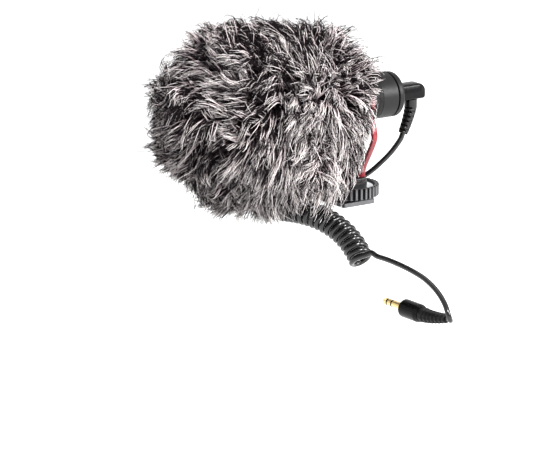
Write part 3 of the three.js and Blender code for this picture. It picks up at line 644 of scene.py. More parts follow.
def make_floor():
    """A floor that the camera sees white, with the object's soft shadow."""
    half = FLOOR_SIZE / 2
    corners = [(x * half, y * half, FLOOR_HEIGHT) for x, y in ((-1, -1), (1, -1), (1, 1), (-1, 1))]
    floor = mesh_object("floor", corners, [(0, 1, 2, 3)], smooth=False)
    floor.data.materials.append(material("floor", paper))


def make_light():
    make_world()
    make_floor()
    for name, lamp in LAMPS.items():
        area_light(name, *lamp)


# ---- cord


def relief_line(start, length, shape):
    return catmull_rom(np.array(start) + np.array(shape) * length, RELIEF_STEPS)


def coil_curve():
    a, b, c, d = (np.array(p) for p in COIL_AXIS)
    t = np.linspace(0, 1, AXIS_STEPS + 1)[:, None]
    return (1 - t) ** 3 * a + 3 * (1 - t) ** 2 * t * b + 3 * (1 - t) * t**2 * c + t**3 * d


def coil_points(shares, turns):
    """The wound cord's centreline at shares of the coil's axis."""
    axis = coil_curve()
    middle = by_length(axis, shares)
    nudge = 1e-3
    ahead, behind = np.minimum(shares + nudge, 1), np.maximum(shares - nudge, 0)
    along = unit(by_length(axis, ahead) - by_length(axis, behind))
    across = unit(np.cross(along, (0, 1, 0)))
    other = np.cross(along, across)
    angle = -tau * turns[:, None]
    radius = (COIL_DIAMETER - CORD_DIAMETER) / 2
    return middle + radius * (np.cos(angle) * across + np.sin(angle) * other)


def straight_on(before, end):
    """Points that carry a lead straight on from its end in a face."""
    along = unit(end - before)
    return [end + along * d for d in (0, SEAT, SEAT + CORD_DIAMETER / 2, SEAT + CORD_DIAMETER)]


def lead(start, route, end):
    """A lead along a route from one end to another, each given with the point before it."""
    points = [*straight_on(*start), *map(np.array, route), *reversed(straight_on(*end))]
    return catmull_rom(points, LEAD_STEPS)


def coil_line():
    """The wound points, with the source's own points and a straight run at each end."""
    coarse = round(COIL_TURNS * SOURCE_STEPS)
    shares = np.array([0, 1, coarse - 1, coarse]) / coarse
    ends = coil_points(shares, FIRST_TURN + COIL_TURNS * shares)
    count = round(COIL_TURNS * COIL_STEPS)
    shares = np.arange(count + 1) / count
    wound = coil_points(shares, FIRST_TURN + COIL_TURNS * shares)
    first = ends[0] + unit(ends[0] - ends[1]) * CORD_DIAMETER
    last = ends[3] + unit(ends[3] - ends[2]) * CORD_DIAMETER
    return ends, first, wound, last


def cord_line():
    """The whole cord's centreline, from relief to relief."""
    near = relief_line(*NEAR_RELIEF)
    far = relief_line(*FAR_RELIEF)
    ends, first, wound, last = coil_line()
    parts = (
        lead(near[-2:], NEAR_ROUTE, (ends[0], first)),
        catmull_rom([first, *wound[1:-1], last], 1)[1:-1],
        lead((ends[3], last), FAR_ROUTE, far[-2:]),
    )
    return np.concatenate(parts) * MM


def make_cord(looks):
    line = cord_line()
    ring = circle(DRAWN_CORD / 2 * MM, CORD_SIDES)
    cord = dress(swept("patch_cord", line, lambda i: ring), looks, "cord_black")
    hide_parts("cord_lead_near", "cord_coil", "cord_lead_far")
    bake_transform(cord)
    length_of(line)


# ---- tube, plug, wheel and base


def slot_cutter():
    """Bars that cut the tube's acoustic slots, as one object."""
    outline = rectangle(*SLOT, SLOT[0] / 2 - 0.01)
    bars = []
    for y in SLOT_PLACES:
        for i in range(SLOTS_ROUND):
            angle = (i + 0.5) * tau / SLOTS_ROUND
            c, s = sin(angle), cos(angle)

            def place(u, v, w):
                return (w * c + u * s) * MM, (y + v) * MM, MIC_AXIS + (w * s - u * c) * MM

            bars.append(prism("slot", outline, *SLOT_CUT, place))
    return joined("slots", bars)


def make_tube(looks):
    """The body tube with its slots and its band's seat."""
    profile = (
        (TUBE_INNER, TUBE_FRONT), (TUBE_RADIUS, TUBE_FRONT),
        (TUBE_RADIUS, BAND[0]), (BAND_FLOOR, BAND[0]),
        (BAND_FLOOR, BAND[1]), (TUBE_RADIUS, BAND[1]),
        (TUBE_RADIUS, TUBE_REAR), (TUBE_INNER, TUBE_REAR),
    )
    tube = turned("mic_tube", rounded(mm(profile), TUBE_CORNER * MM, 2), TURNED_SIDES)
    cutter = slot_cutter()
    shaped(tube, "BOOLEAN", object=cutter, operation="DIFFERENCE", solver="EXACT")
    bpy.data.objects.remove(cutter)
    dress(tube, looks, "body_satin")
    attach(tube, "microphone")
    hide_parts("body_tube")


def make_cap(looks):
    """The rear cap, which leaves a groove behind the tube."""
    middle = (TUBE_RADIUS - CAP_FILLET, CAP_REAR - CAP_FILLET)
    profile = (
        (CAP_BORE, CAP_SPIGOT[1]), CAP_SPIGOT,
        (CAP_SPIGOT[0], CAP_FRONT), (TUBE_RADIUS - CAP_EDGE, CAP_FRONT),
        (TUBE_RADIUS, CAP_FRONT + CAP_EDGE), *arc(middle, CAP_FILLET, 0, 8),
        (CAP_BORE + CAP_BORE_EDGE, CAP_REAR), (CAP_BORE, CAP_REAR - CAP_BORE_EDGE),
    )
    cap = dress(shaped(turned("mic_cap", mm(profile), TURNED_SIDES)), looks, "body_satin")
    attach(cap, "microphone")
    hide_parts("rear_cap")


def make_housing(looks):
    """The elbow plug's housing, with soft edges."""
    half = HOUSING_SIZE / 2
    below = (HOUSING_LENGTH - HOUSING_CORNER, HOUSING_CORNER - half)
    above = (HOUSING_LENGTH - HOUSING_ROUND, half - HOUSING_ROUND)
    corners = [*arc(below, HOUSING_CORNER, -pi / 2, 6), *arc(above, HOUSING_ROUND, 0, 6)]
    outline = [(0, half), (0, -half), *corners]

    def place(u, v, w):
        return w * MM, (HOUSING_FRONT + u) * MM, MIC_AXIS + v * MM

    housing = bevelled(prism("elbow_housing", outline, -half, half, place), HOUSING_EDGE, 4)
    dress(housing, looks, "plug_black")
    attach(housing, "mic_plug")
    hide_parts("plug_housing")


def make_relief(looks):
    """The elbow plug's relief, its grooves staggered from side to side."""
    line = relief_line(*NEAR_RELIEF)
    line = by_length(line, np.linspace(0, 1, RELIEF_POINTS)) * MM
    side = np.cos(2 * np.arange(RELIEF_SIDES) * tau / RELIEF_SIDES)
    stagger = np.where(side > 0, 0, 0.5)
    bridges = smooth(np.abs(side), *GROOVE_BRIDGE)

    def section(i):
        share = i / (RELIEF_POINTS - 1)
        ribbed = max(0, (share - COLLAR_SHARE) / (1 - COLLAR_SHARE))
        radius = RELIEF_COLLAR + (RELIEF_TIP - RELIEF_COLLAR) * ribbed
        rib = ribbed * RELIEF_RIBS
        wave = smooth(np.sin((rib + stagger) * tau), *GROOVE_WALL)
        groove = wave * smooth(rib, *GROOVE_FIRST) * bridges
        return circle(1, RELIEF_SIDES) * (radius - RELIEF_GROOVE * groove)[:, None] * MM

    relief = dress(swept("elbow_relief", line, section), looks, "relief_rubber")
    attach(relief, "mic_plug")
    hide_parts("plug_relief")


def rib_wobble(points, angle):
    """Cuts the grooves between the thumb wheel's ribs."""
    turn = (angle / (tau) * WHEEL_RIBS) % 1
    groove = smooth(abs(turn - 0.5), *RIB_FLANK)
    outer = smooth(points[:, 0], *((WHEEL_RADIUS - depth) * MM for depth in RIB_FADE))
    return np.stack([-outer * groove * RIB_DEPTH * MM, 0 * outer], 1)


def make_wheel(looks):
    """The thumb wheel, black in its face, with a painted highlight on its ribs and painted shade in
    its grooves.
    """
    profile = (
        (WHEEL_HOLE, WHEEL_WEB[0]), (WHEEL_POCKET, WHEEL_WEB[0]),
        (WHEEL_POCKET, WHEEL_BOTTOM), (WHEEL_RADIUS, WHEEL_BOTTOM),
        (WHEEL_RADIUS, WHEEL_TOP), (WHEEL_RIM[1], WHEEL_TOP),
        (WHEEL_RIM[0], WHEEL_WEB[1]), (WHEEL_HOLE, WHEEL_WEB[1]),
    )
    profile = rounded(mm(profile), WHEEL_CORNER * MM)
    wheel = turned("knurled_wheel", profile, WHEEL_RIBS * RIB_STEPS, rib_wobble, upright=True)
    dress(shaped(wheel), looks, "mount_black")
    for name in ("wheel_satin", "wheel_groove"):
        wheel.data.materials.append(looks[name])
    # rib tops get the painted highlight and steep groove walls the painted shade
    for face in wheel.data.polygons:
        depth = WHEEL_RADIUS - hypot(face.center.x, face.center.y) / MM
        if depth < RIB_HIGHLIGHT_DEPTH:
            face.material_index = 1
        elif depth < RIB_SHADE_DEPTH and abs(face.normal.z) < 0.5:
            face.material_index = 2
    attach(wheel, "wheel")
    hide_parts("thumb_wheel")


def make_reflection_ring(looks):
    """A bright sloped ring on the thumb wheel's web, a painted reflection of the white
    surroundings.
    """
    profile = rounded(mm(REFLECTION_RING), REFLECTION_RING_CORNER * MM, 2)
    ring = shaped(turned("wheel_painted_reflection", profile, HIDDEN_SIDES, upright=True))
    dress(ring, looks, "washer_bright")
    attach(ring, "wheel")


def make_base(looks):
    """The flange over the stud and the lyres' rail."""
    profile = (
        (FLANGE_SOCKET[0], FLANGE[0]), (FLANGE_RADIUS, FLANGE[0]),
        (FLANGE_RADIUS, FLANGE[1]), (PINHOLE, FLANGE[1]),
        (PINHOLE, FLANGE_SOCKET[1]), FLANGE_SOCKET,
    )
    profile = rounded(mm(profile), FLANGE_CORNER * MM)
    flange = shaped(turned("base_flange", profile, HIDDEN_SIDES, upright=True))
    dress(flange, looks, "mount_black")
    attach(flange, "mount")
    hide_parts("mount_base")

    def place(u, v, w):
        return u * MM, (RAIL_MIDDLE + v) * MM, w * MM

    rail = prism("base_rail", rectangle(*RAIL, RAIL_CORNER), *RAIL_HEIGHTS, place)
    dress(bevelled(rail, RAIL_EDGE, 3), looks, "mount_black")
    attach(rail, "mount")


# ---- fur windshield

SEED = 11
CENTRE = np.array([0, -51.5, 47.5]) * MM
SHOWN_RADIUS = 45 * MM
# blunt eggs round the microphone's axis: radius, reach forwards and backwards, and powers
ROOTS = (31.2 * MM, 41 * MM, 37 * MM, 2, 3)
TIPS = (43.6 * MM, 54 * MM, 54 * MM, 1.9, 3)
ROOT_REAR = -20.5 * MM  # the backing ends in a flat rear face here
HEM_RADIUS = 13 * MM
REAR_FLARE = (0.15, 0.75)  # outward share of that face's normals, at the hem and added at the edge
REAR_FACING = 0.9
CLUMPS = 1700
CLUMP_STRANDS = 40
CLUMP_WISPS = 8
CLUMP_RADIUS = 2.3 * MM
SEGMENTS = 5
PIECE_STRANDS = 6200
HAIR_WIDTH = 0.43 * MM
HAIR_TAPER, TAPER_POWER = 0.75, 1.6
HAIR_WIDTHS = (0.75, 1.2)
HAIR_TWIST = 0.5
TONE_COLUMN = 0.0015  # width of a strand's side in the map
ROOT_SHARE = 0.74  # how far out a root lies of where its tip shows
RISE = (3, 34)  # least and most in millimetres
RISE_HALVINGS = 14
PATTERN_WAVES = 7
WAVE_SIZES = (0.6, 1.5)
WAVE_STRENGTH = 0.55
FULL_TURN = 6.3

# ---- where hair is kept clear, in metres
CLEARANCE = 12.9 * MM  # hair lies over the lyres' clips, outside this radius
TUBE_FROM = -50 * MM
PARTING = 15.3 * MM  # and outside this half width beside the mount
PARTING_TOP = 46 * MM
PARTING_FRONT = -24 * MM
BETWEEN_ARMS = 7 * MM  # hair this near the mount's middle is left out
SPARE = 0.12
LONG_PUSH = 3  # strands that clearing moves further are left out
FRONT_LIMIT = -112.5 * MM  # no stray reaches further
# the fur's rear end: heights, and the place at each
REAR_EDGE = mm([(4, 14, 27, 38, 44, 54, 62, 76), (-18.5, -10.5, -3, -1, 2.5, 3, 7.5, 9)])
REAR_SLOPE = 0.7
REAR_UNEVEN = 1.6 * MM
LEAST_LENGTH = 0.35  # shorter strands are left out

# ---- the brush, in fur radii right and up of the fur's middle in the picture
# strokes: where on the shown side, and which way the hair lies there
STROKES = (
    (-1.0, 0.0, -1.0, -0.1), (-0.9, 0.4, -1.0, 0.15), (-0.6, 0.7, -0.8, 0.55),
    (-0.15, 0.8, -0.7, 0.45), (0.2, 0.95, -0.4, 0.8), (0.65, 0.75, -0.45, 0.8),
    (1.0, 0.7, 0.0, 1.0), (1.15, 0.45, 0.5, 0.7), (0.0, 0.3, -0.8, 0.5),
    (0.5, 0.3, -0.8, -0.35), (0.9, 0.1, -0.65, -0.7), (0.4, -0.2, -0.75, -0.65),
    (0.85, -0.4, -0.6, -0.8), (0.9, -0.75, -0.25, -1.0), (0.5, -0.8, -0.05, -1.0),
    (0.1, -0.6, -0.35, -0.95), (-0.3, -0.35, -0.6, -0.75), (-0.6, -0.7, -0.65, -0.75),
    (-0.7, -0.15, -0.8, -0.55),
)
# paler and darker patches: right, up, size, change
TONE_PATCHES = (
    (0.46, 0.6, 0.38, -0.27), (-0.1, 0.42, 0.25, 0.22), (-0.6, 0.65, 0.25, 0.16),
    (-0.55, 0.25, 0.28, -0.16), (-0.15, -0.12, 0.2, -0.1), (-0.3, -0.45, 0.22, 0.1),
    (0.5, 0.15, 0.25, -0.13), (0.6, -0.4, 0.25, 0.07), (0.92, -0.38, 0.1, -0.15),
)
STROKE_WIDTH = 0.28
STROKE_AHEAD = 0.22
SHOWN = (-0.35, 0.05)  # how near the viewer strokes start to count, and count in full
HANGING = (0, -0.6, -0.8)  # how hair lies on the other side
NECK_WAY = (0, 0.8, 0.1)  # and at the neck
NECK_WEIGHT = 0.6
STRAY_WAY = 0.35
LEAST_LEAN = 0.35

# ---- zones from which effects grow, and where they are full, in millimetres
NECK_Y, NECK_Z, NECK_RADII = (-26, -19), (40, 52), (22, 14)
REAR, LOW, MIDDLE = (-32, -21), (60, 44), (-74, -52)
UNDERSIDE = (-0.3, -0.9)  # by the upward part of the outward normal

# ---- smooth unevenness in layers of strength, seed and size in millimetres
WAY_LAYERS = ((0.42, 5, 24), (0.42, 6, 10))
TONE_LAYERS = ((0.07, 8, 24), (0.09, 12, 11))
REACH_LAYERS = ((0.05, 9, 16), (0.035, 10, 7))

# ---- strands: lengths in millimetres, reach as a share of the tips' outline
LEAN = (9, 16)
LEAN_LOST = 0.45
DROP, DROP_UNDER, DROP_AT_REAR = 2.2, 5, 3.5
REACH = (0.96, 1.03)
REACH_AT_REAR, REACH_LOST_LOW, REACH_LOST_AT_NECK = 0.19, 0.11, 0.1
REACH_UNDER, REACH_LOST_UNDER = 0.16, 0.07
WISP_REACH = (0.7, 1.08)
WISP_REACH_LOST = 0.35
STRAND_REACH = (0.8, 1.06)
WISP_SPREAD, STRAND_SPREAD = 0.6, 0.4  # in clump radii
WISP_SPREAD_REAR = 0.35
WISP_CLOSING, STRAND_CLOSING = 0.1, 0.5  # share of the spread that is lost from root to tip
ROOT_DEPTH = 1.2
LEAN_POWER, DROP_POWER = 1.5, 2.2
CURL, CURL_TURN, CURL_SHARE = 1.8, 2.6, 0.8
WAVE, WAVE_TURN = 0.4, 8
STRAYS, STRAY_SHIFT, LOOSE_SHIFT = 0.12, 3.2, 0.6
TONE_AT_REAR = 0.1
WISP_TONE = 0.24
PALE_STRANDS, DARK_STRANDS = (0.64, 1), (0.0, 0.4)


def even_directions(count):
    """Directions spread evenly over a sphere."""
    i = np.arange(count) + 0.5
    z = 1 - 2 * i / count
    angle = pi * (1 + 5**0.5) * i
    r = np.sqrt(1 - z * z)
    return np.stack([r * np.cos(angle), z, r * np.sin(angle)], 1)


def egg(points, size):
    """How far out points lie, 1 being on an egg's outline, and its outward normals there."""
    radius, front, rear, front_power, rear_power = size
    off = points - CENTRE
    out = np.hypot(off[:, 0], off[:, 2])
    ahead = off[:, 1] < 0
    reach = np.where(ahead, front, rear)
    power = np.where(ahead, front_power, rear_power)
    across, along = out / radius, np.abs(off[:, 1]) / reach
    share = (across**power + along**power) ** (1 / power)
    radial = off / np.maximum(out, 1e-9)[:, None]
    radial[:, 1] = 0
    slope = (across ** (power - 1) / radius)[:, None] * radial
    slope[:, 1] = np.sign(off[:, 1]) * along ** (power - 1) / reach
    return share, unit(slope)


def rooted(directions):
    """Roots and outward normals on the backing for directions from its centre."""
    share, _ = egg(CENTRE + directions * MM, ROOTS)
    roots = CENTRE + directions * (MM / share)[:, None]
    _, normals = egg(roots, ROOTS)
    behind = roots[:, 1] > ROOT_REAR
    radial = roots - CENTRE
    radial[:, 1] = 0
    out = norm(radial, axis=1)
    edge = ROOTS[0] * (1 - ((ROOT_REAR - CENTRE[1]) / ROOTS[2]) ** ROOTS[4]) ** (1 / ROOTS[4])
    share = np.clip(out / edge, 0, 1)
    flat = CENTRE + unit(radial) * (HEM_RADIUS + (edge - HEM_RADIUS) * share)[:, None]
    flat[:, 1] = ROOT_REAR
    flare = REAR_FLARE[0] + REAR_FLARE[1] * share[:, None] ** 2
    rear_normals = unit(unit(radial) * flare + np.array([0, REAR_FACING, 0]))
    roots[behind] = flat[behind]
    normals[behind] = rear_normals[behind]
    return roots, normals


def rise_to(roots, normals, offset, share):
    """How far hair that leans by offset rises to end at share of the tips' outline."""
    low, high = (np.full(len(roots), rise * MM) for rise in RISE)
    for _ in range(RISE_HALVINGS):
        middle = (low + high) / 2
        over = egg(roots + offset + normals * middle[:, None], TIPS)[0] > share
        low, high = np.where(over, (low, middle), (middle, high))
    return low


def zone(values, limits):
    """How far values in metres are into a zone whose limits are in millimetres."""
    return smooth(values, limits[0] * MM, limits[1] * MM)


def pattern(places, seed, size):
    """Smooth random vectors, about 1 long, with features of the given size."""
    rng = np.random.default_rng(seed)
    out = np.zeros_like(places)
    for _ in range(PATTERN_WAVES):
        wave = rng.normal(size=3)
        wave = wave / norm(wave) * rng.uniform(*WAVE_SIZES) * tau / size
        phase = rng.uniform(0, FULL_TURN)
        out += np.sin(places @ wave + phase)[:, None] * rng.normal(size=3) * WAVE_STRENGTH
    return out


def layered(values, places, layers):
    """Values with layers of smooth unevenness added."""
    for strength, seed, size in layers:
        values = values + strength * pattern(places, seed, size * MM)
    return values


def in_view(roots):
    """How far right, up and towards the viewer roots lie, in fur radii."""
    q = (roots - CENTRE) / SHOWN_RADIUS
    return q @ np.array(RIGHT), q @ np.array(UP), -q @ np.array(FORWARD)


def brushed_ways(a, b):
    """Which way the strokes lay hair rooted at places in the view."""
    strokes = np.array(STROKES)
    place = np.stack([a, b], 1) / ROOT_SHARE
    plane = 0
    for _ in range(2):  # the second time where the hair ends, which is where it shows
        off = (place + STROKE_AHEAD * plane)[:, None] - strokes[None, :, :2]
        weight = np.exp(-np.sum(off**2, axis=2) / STROKE_WIDTH**2) + 1e-6
        plane = (weight @ strokes[:, 2:]) / weight.sum(axis=1, keepdims=True)
    return plane[:, :1] * np.array(RIGHT) + plane[:, 1:] * np.array(UP)


def comb(roots, normals, rng):
    """The way that each clump lies: brushed on the shown side, hanging on the other."""
    a, b, near = in_view(roots)
    seen = smooth(near, *SHOWN)[:, None]
    way = brushed_ways(a, b) * seen + np.array(HANGING) * (1 - seen)
    neck = (zone(roots[:, 1], NECK_Y) * zone(roots[:, 2], NECK_Z))[:, None]
    way = way * (1 - NECK_WEIGHT * neck) + neck * np.array(NECK_WAY)
    way = layered(unit(way), roots, WAY_LAYERS)
    way += rng.normal(size=way.shape) * STRAY_WAY
    way -= normals * np.sum(way * normals, axis=1, keepdims=True)
    return unit(way), np.clip(norm(way, axis=1), LEAST_LEAN, 1)


def region_tone(roots):
    """Share of pale hair: high low down and to the rear, low at the front and on top."""
    a, b, _ = in_view(roots)
    tone = 0.29 + 0.17 * smooth(a - 0.5 * b, -0.3, 0.7) - 0.08 * smooth(b, 0.1, 0.7)
    tone -= 0.13 * smooth(a, 0.6, 0.9) * smooth(b, 0.1, -0.2)
    for right, up, size, change in TONE_PATCHES:
        off = (a / ROOT_SHARE - right) ** 2 + (b / ROOT_SHARE - up) ** 2
        tone += change * np.exp(-off / size**2)
    return layered(tone[:, None], roots, TONE_LAYERS)[:, 0]


def make_clumps(rng):
    """Where each clump roots, how it rises, leans, drops and curls, and its wisps' tones."""
    roots, normals = rooted(unit(even_directions(CLUMPS) + rng.normal(size=(CLUMPS, 3)) * 0.03))
    ways, flatness = comb(roots, normals, rng)
    rear, low, middle = zone(roots[:, 1], REAR), zone(roots[:, 2], LOW), zone(roots[:, 1], MIDDLE)
    under = smooth(normals[:, 2], *UNDERSIDE)
    neck = rear * zone(np.hypot(roots[:, 0], roots[:, 2] - MIC_AXIS), NECK_RADII)
    lean = rng.uniform(*LEAN, CLUMPS) * (1 - LEAN_LOST * rear) * flatness * MM
    rear_drop = rear * low * rng.uniform(0, DROP_AT_REAR, CLUMPS)
    drop = (DROP + DROP_UNDER * under * middle + rear_drop) * MM
    offset = ways * lean[:, None] - np.array([0, 0, 1]) * drop[:, None]
    reach = rng.uniform(*REACH, CLUMPS) + layered(0, roots, REACH_LAYERS)[:, 0]
    reach += rear * (REACH_AT_REAR - REACH_LOST_LOW * low) - REACH_LOST_AT_NECK * neck
    reach += under * (REACH_UNDER * middle - REACH_LOST_UNDER)
    tones = (region_tone(roots) + TONE_AT_REAR * rear * (1 - low))[:, None]
    tones = tones + rng.normal(size=(CLUMPS, CLUMP_WISPS)) * WISP_TONE
    curl = rng.normal(size=(CLUMPS, 3)) * CURL * MM
    rise = rise_to(roots, normals, offset, reach)
    place = {"roots": roots, "normals": normals, "ways": ways, "rear": rear, "low": low}
    return SimpleNamespace(**place, lean=lean, drop=drop, rise=rise, tones=tones, curl=curl)


def make_wisps(clumps, rng):
    """Each clump's wisps: how far from its middle they stand, and their share of its reach."""
    every = (CLUMPS, CLUMP_WISPS)
    offsets = rng.normal(size=(*every, 3)) * CLUMP_RADIUS * WISP_SPREAD
    reach = rng.uniform(*WISP_REACH, every)
    offsets *= 1 + WISP_SPREAD_REAR * clumps.rear[:, None, None]
    high_rear = (clumps.rear * (1 - clumps.low))[:, None]
    reach -= WISP_REACH_LOST * high_rear * rng.random(every)
    return offsets, reach


def strand_lines(rng):
    """Points of every strand, its tone and the outward normal at its root."""
    clumps = make_clumps(rng)
    clump = np.repeat(np.arange(CLUMPS), CLUMP_STRANDS)
    count = len(clump)
    wisp = rng.integers(0, CLUMP_WISPS, count)
    wisp_offsets, wisp_reach = make_wisps(clumps, rng)
    n, t = clumps.normals[clump], clumps.ways[clump]
    wisp_side = wisp_offsets[clump, wisp]
    own_side = rng.normal(size=(count, 3)) * CLUMP_RADIUS * STRAND_SPREAD
    for side in (wisp_side, own_side):
        side -= n * np.sum(side * n, axis=1, keepdims=True)
    reach = (wisp_reach[clump, wisp] * rng.uniform(*STRAND_REACH, count))[:, None, None]
    shift = np.where(rng.random(count) < STRAYS, STRAY_SHIFT, LOOSE_SHIFT)[:, None]
    loose = shift * rng.normal(size=(count, 3)) * MM
    wave = rng.normal(size=(count, 3))[:, None] * WAVE * MM
    phase = rng.uniform(0, FULL_TURN, (count, 1, 1))

    s = np.linspace(0, 1, SEGMENTS + 1)[None, :, None]
    lines = clumps.roots[clump][:, None] - n[:, None] * ROOT_DEPTH * MM
    lines = lines + n[:, None] * clumps.rise[clump][:, None, None] * reach * (1 - (1 - s) ** 2)
    lines += t[:, None] * clumps.lean[clump][:, None, None] * reach * s**LEAN_POWER
    lines += wisp_side[:, None] * (1 - WISP_CLOSING * s)
    lines += own_side[:, None] * (1 - STRAND_CLOSING * s)
    lines += clumps.curl[clump][:, None] * np.sin(s * CURL_TURN) * CURL_SHARE
    lines += loose[:, None] * s**2 + wave * np.sin(s * WAVE_TURN + phase) * s
    lines[:, :, 2] -= clumps.drop[clump][:, None] * reach[:, :, 0] * s[:, :, 0] ** DROP_POWER
    pale = rng.random(count) < clumps.tones[clump, wisp]
    tone = np.where(pale, rng.uniform(*PALE_STRANDS, count), rng.uniform(*DARK_STRANDS, count))
    return lines, tone, n


def trimmed(lines, rng):
    """Cuts strands at the fur's rear edge, and tells which are worth keeping."""
    row = np.arange(len(lines))
    tips = lines[row, lines[:, :, 1].argmax(axis=1)]
    edge = np.interp(tips[:, 2], *REAR_EDGE)
    edge -= REAR_SLOPE * np.maximum(0, np.abs(tips[:, 0]) - PARTING)
    edge += rng.normal(size=len(lines)) * REAR_UNEVEN
    past = lines[:, :, 1] > edge[:, None]
    cut = past.any(axis=1)
    first = np.maximum(np.where(cut, past.argmax(axis=1), SEGMENTS), 1)
    before, after = lines[row, first - 1, 1], lines[row, first, 1]
    part = np.where(cut, (edge - before) / np.maximum(after - before, 1e-9), 1)
    length = (first - 1 + np.clip(part, 0, 1)) / SEGMENTS
    places = np.linspace(0, 1, SEGMENTS + 1) * length[:, None] * SEGMENTS
    low = np.minimum(places.astype(int), SEGMENTS - 1)
    share = (places - low)[:, :, None]
    lines = lines[row[:, None], low] * (1 - share) + lines[row[:, None], low + 1] * share
    return lines, (length > LEAST_LENGTH) & (lines[:, :, 1].min(axis=1) > FRONT_LIMIT)


def keep_clear(lines, tone, normals, rng):
    """Lays hair over the tube and beside the mount, and leaves out what would hang between."""
    lines, kept = trimmed(lines, rng)
    lines, tone, normals = lines[kept], tone[kept], normals[kept]
    spare = 1 + SPARE * rng.random((len(lines), 1))
    x, y, z = (lines[:, :, k] for k in range(3))
    out = np.hypot(x, z - MIC_AXIS)
    close = (out < CLEARANCE * spare) & (y > TUBE_FROM)
    push = np.where(close, CLEARANCE * spare / np.maximum(out, 1e-6), 1)
    x, z = x * push, MIC_AXIS + (z - MIC_AXIS) * push
    beside = (np.abs(x) < PARTING * spare) & (y > PARTING_FRONT) & (z < PARTING_TOP)
    between = (beside & (np.abs(x) < BETWEEN_ARMS)).any(axis=1) | (push > LONG_PUSH).any(axis=1)
    x = np.where(beside, np.sign(x) * PARTING * spare, x)
    lines = np.stack([x, y, z], -1)[~between]
    return lines, tone[~between], normals[~between]


def strand_mesh(name, lines, tone, normals, rng):
    """Three-sided tapering tubes along the strands."""
    count, points = lines.shape[:2]
    tangents = unit(np.gradient(lines, axis=1))
    twist = rng.normal(size=(count, 1, 3)) * HAIR_TWIST
    side = unit(np.cross(tangents, normals[:, None] + twist))
    other = np.cross(tangents, side)
    s = np.linspace(0, 1, points)
    width = HAIR_WIDTH / 2 * (1 - HAIR_TAPER * s**TAPER_POWER)
    radius = width[None, :, None] * rng.uniform(*HAIR_WIDTHS, (count, 1, 1))
    angles = (0, tau / 3, 2 * tau / 3)
    rings = [lines + radius * (cos(a) * side + sin(a) * other) for a in angles]
    rings = np.stack(rings, axis=2)
    i, j, k = np.meshgrid(np.arange(count), np.arange(points - 1), np.arange(3), indexing="ij")
    base = (i * points + j) * 3
    nxt = (k + 1) % 3
    quads = np.stack([base + k, base + nxt, base + 3 + nxt, base + 3 + k], -1).reshape(-1, 4)
    left = np.clip(tone, 0.01, 0.985)[:, None, None] + TONE_COLUMN * k
    right = left + TONE_COLUMN
    low, high = s[j], s[j + 1]
    corners = ((left, low), (right, low), (right, high), (left, high))
    uv = np.stack([np.stack(corner, -1) for corner in corners], axis=3).reshape(-1, 2)
    return quad_object(name, rings.reshape(-1, 3), quads, uv)


def make_hair(looks):
    """All the hair, one piece to each sector."""
    rng = np.random.default_rng(SEED)
    lines, tone, normals = keep_clear(*strand_lines(rng), rng)
    order = np.argsort(np.arctan2(lines[:, 0, 2] - MIC_AXIS, lines[:, 0, 0]), kind="stable")
    for number, start in enumerate(range(0, len(order), PIECE_STRANDS), 1):
        chosen = order[start : start + PIECE_STRANDS]
        name = f"fur_hair_{number:02d}"
        hair = strand_mesh(name, lines[chosen], tone[chosen], normals[chosen], rng)
        dress(hair, looks, "fur")
        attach(hair, "windshield")


# ---- under the fur

PILE_INSET = 0.4 * MM
PILE_BORE = 13.1 * MM
BORE_FRONT = -70 * MM
CORE = 0.6  # closes the pile and the foam at their axis
FOAM = (
    (10.95, -25), (12.6, -25.2), (12.9, -26), (12.9, -48), (12.9, -68),
    (11, -69.5), (CORE, -69.6), (CORE, -56.5), (10.95, -56.5), (10.95, -40),
)
HEM_MIDDLE = (11.9, -21.8)
HEM_HALF = (1, 1.2)  # half thickness and half length
HEM_SIDES = 10


def uneven(depth, size, seed):
    """A wobble that keeps cloth and foam from being perfectly round."""

    def move(profile, angle):
        radius, y = profile.T
        places = np.stack([radius * cos(angle), y, radius * sin(angle)], 1)
        return pattern(places, seed, size * MM)[:, :2] * (depth * MM)

    return move


def pile_profile(steps=22):
    """Outline of the short pile: round front, flat rear face and a blind bore."""
    radius, front, back, front_power, rear_power = ROOTS
    foremost = CENTRE[1] - front + PILE_INSET
    outline = []
    for k in range(steps):
        y = foremost + (ROOT_REAR - foremost) * sin(k / (steps - 1) * pi / 2) ** 2
        off = y - CENTRE[1]
        reach, power = (front - PILE_INSET, front_power) if off < 0 else (back, rear_power)
        share = max(0, 1 - abs(off / reach) ** power) ** (1 / power)
        outline.append(((radius - PILE_INSET) * share, y))
    outline[0] = (CORE * MM, outline[0][1])
    width = outline[-1][0] - PILE_BORE
    outline += [(PILE_BORE + width * share, ROOT_REAR) for share in (0.66, 0.33, 0)]
    outline += [(PILE_BORE, (ROOT_REAR + BORE_FRONT) / 2), (PILE_BORE, BORE_FRONT)]
    return outline + [(CORE * MM, BORE_FRONT)]


def make_undercoat(looks):
    """Short dense pile on the backing, the foam inside it and the hem round the tube."""
    pile = turned("fur_undercoat", pile_profile(), 96, uneven(0.45, 9, 21))
    dress(pile, looks, "knit_backing")
    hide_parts("windshield_fur", "windshield_backing")
    foam = dress(turned("foam_core", mm(FOAM), 64, uneven(0.03, 5, 22)), looks, "foam")
    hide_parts("windshield_foam")
    section = np.array(HEM_MIDDLE) + circle(1, HEM_SIDES) * HEM_HALF
    hem = turned("hem_binding", mm(section), 96, uneven(0.05, 4, 23))
    dress(hem, looks, "rubber_black")
    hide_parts("windshield_hem")
    for piece in (pile, foam, hem):
        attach(piece, "windshield")


# ---- lyres, in millimetres

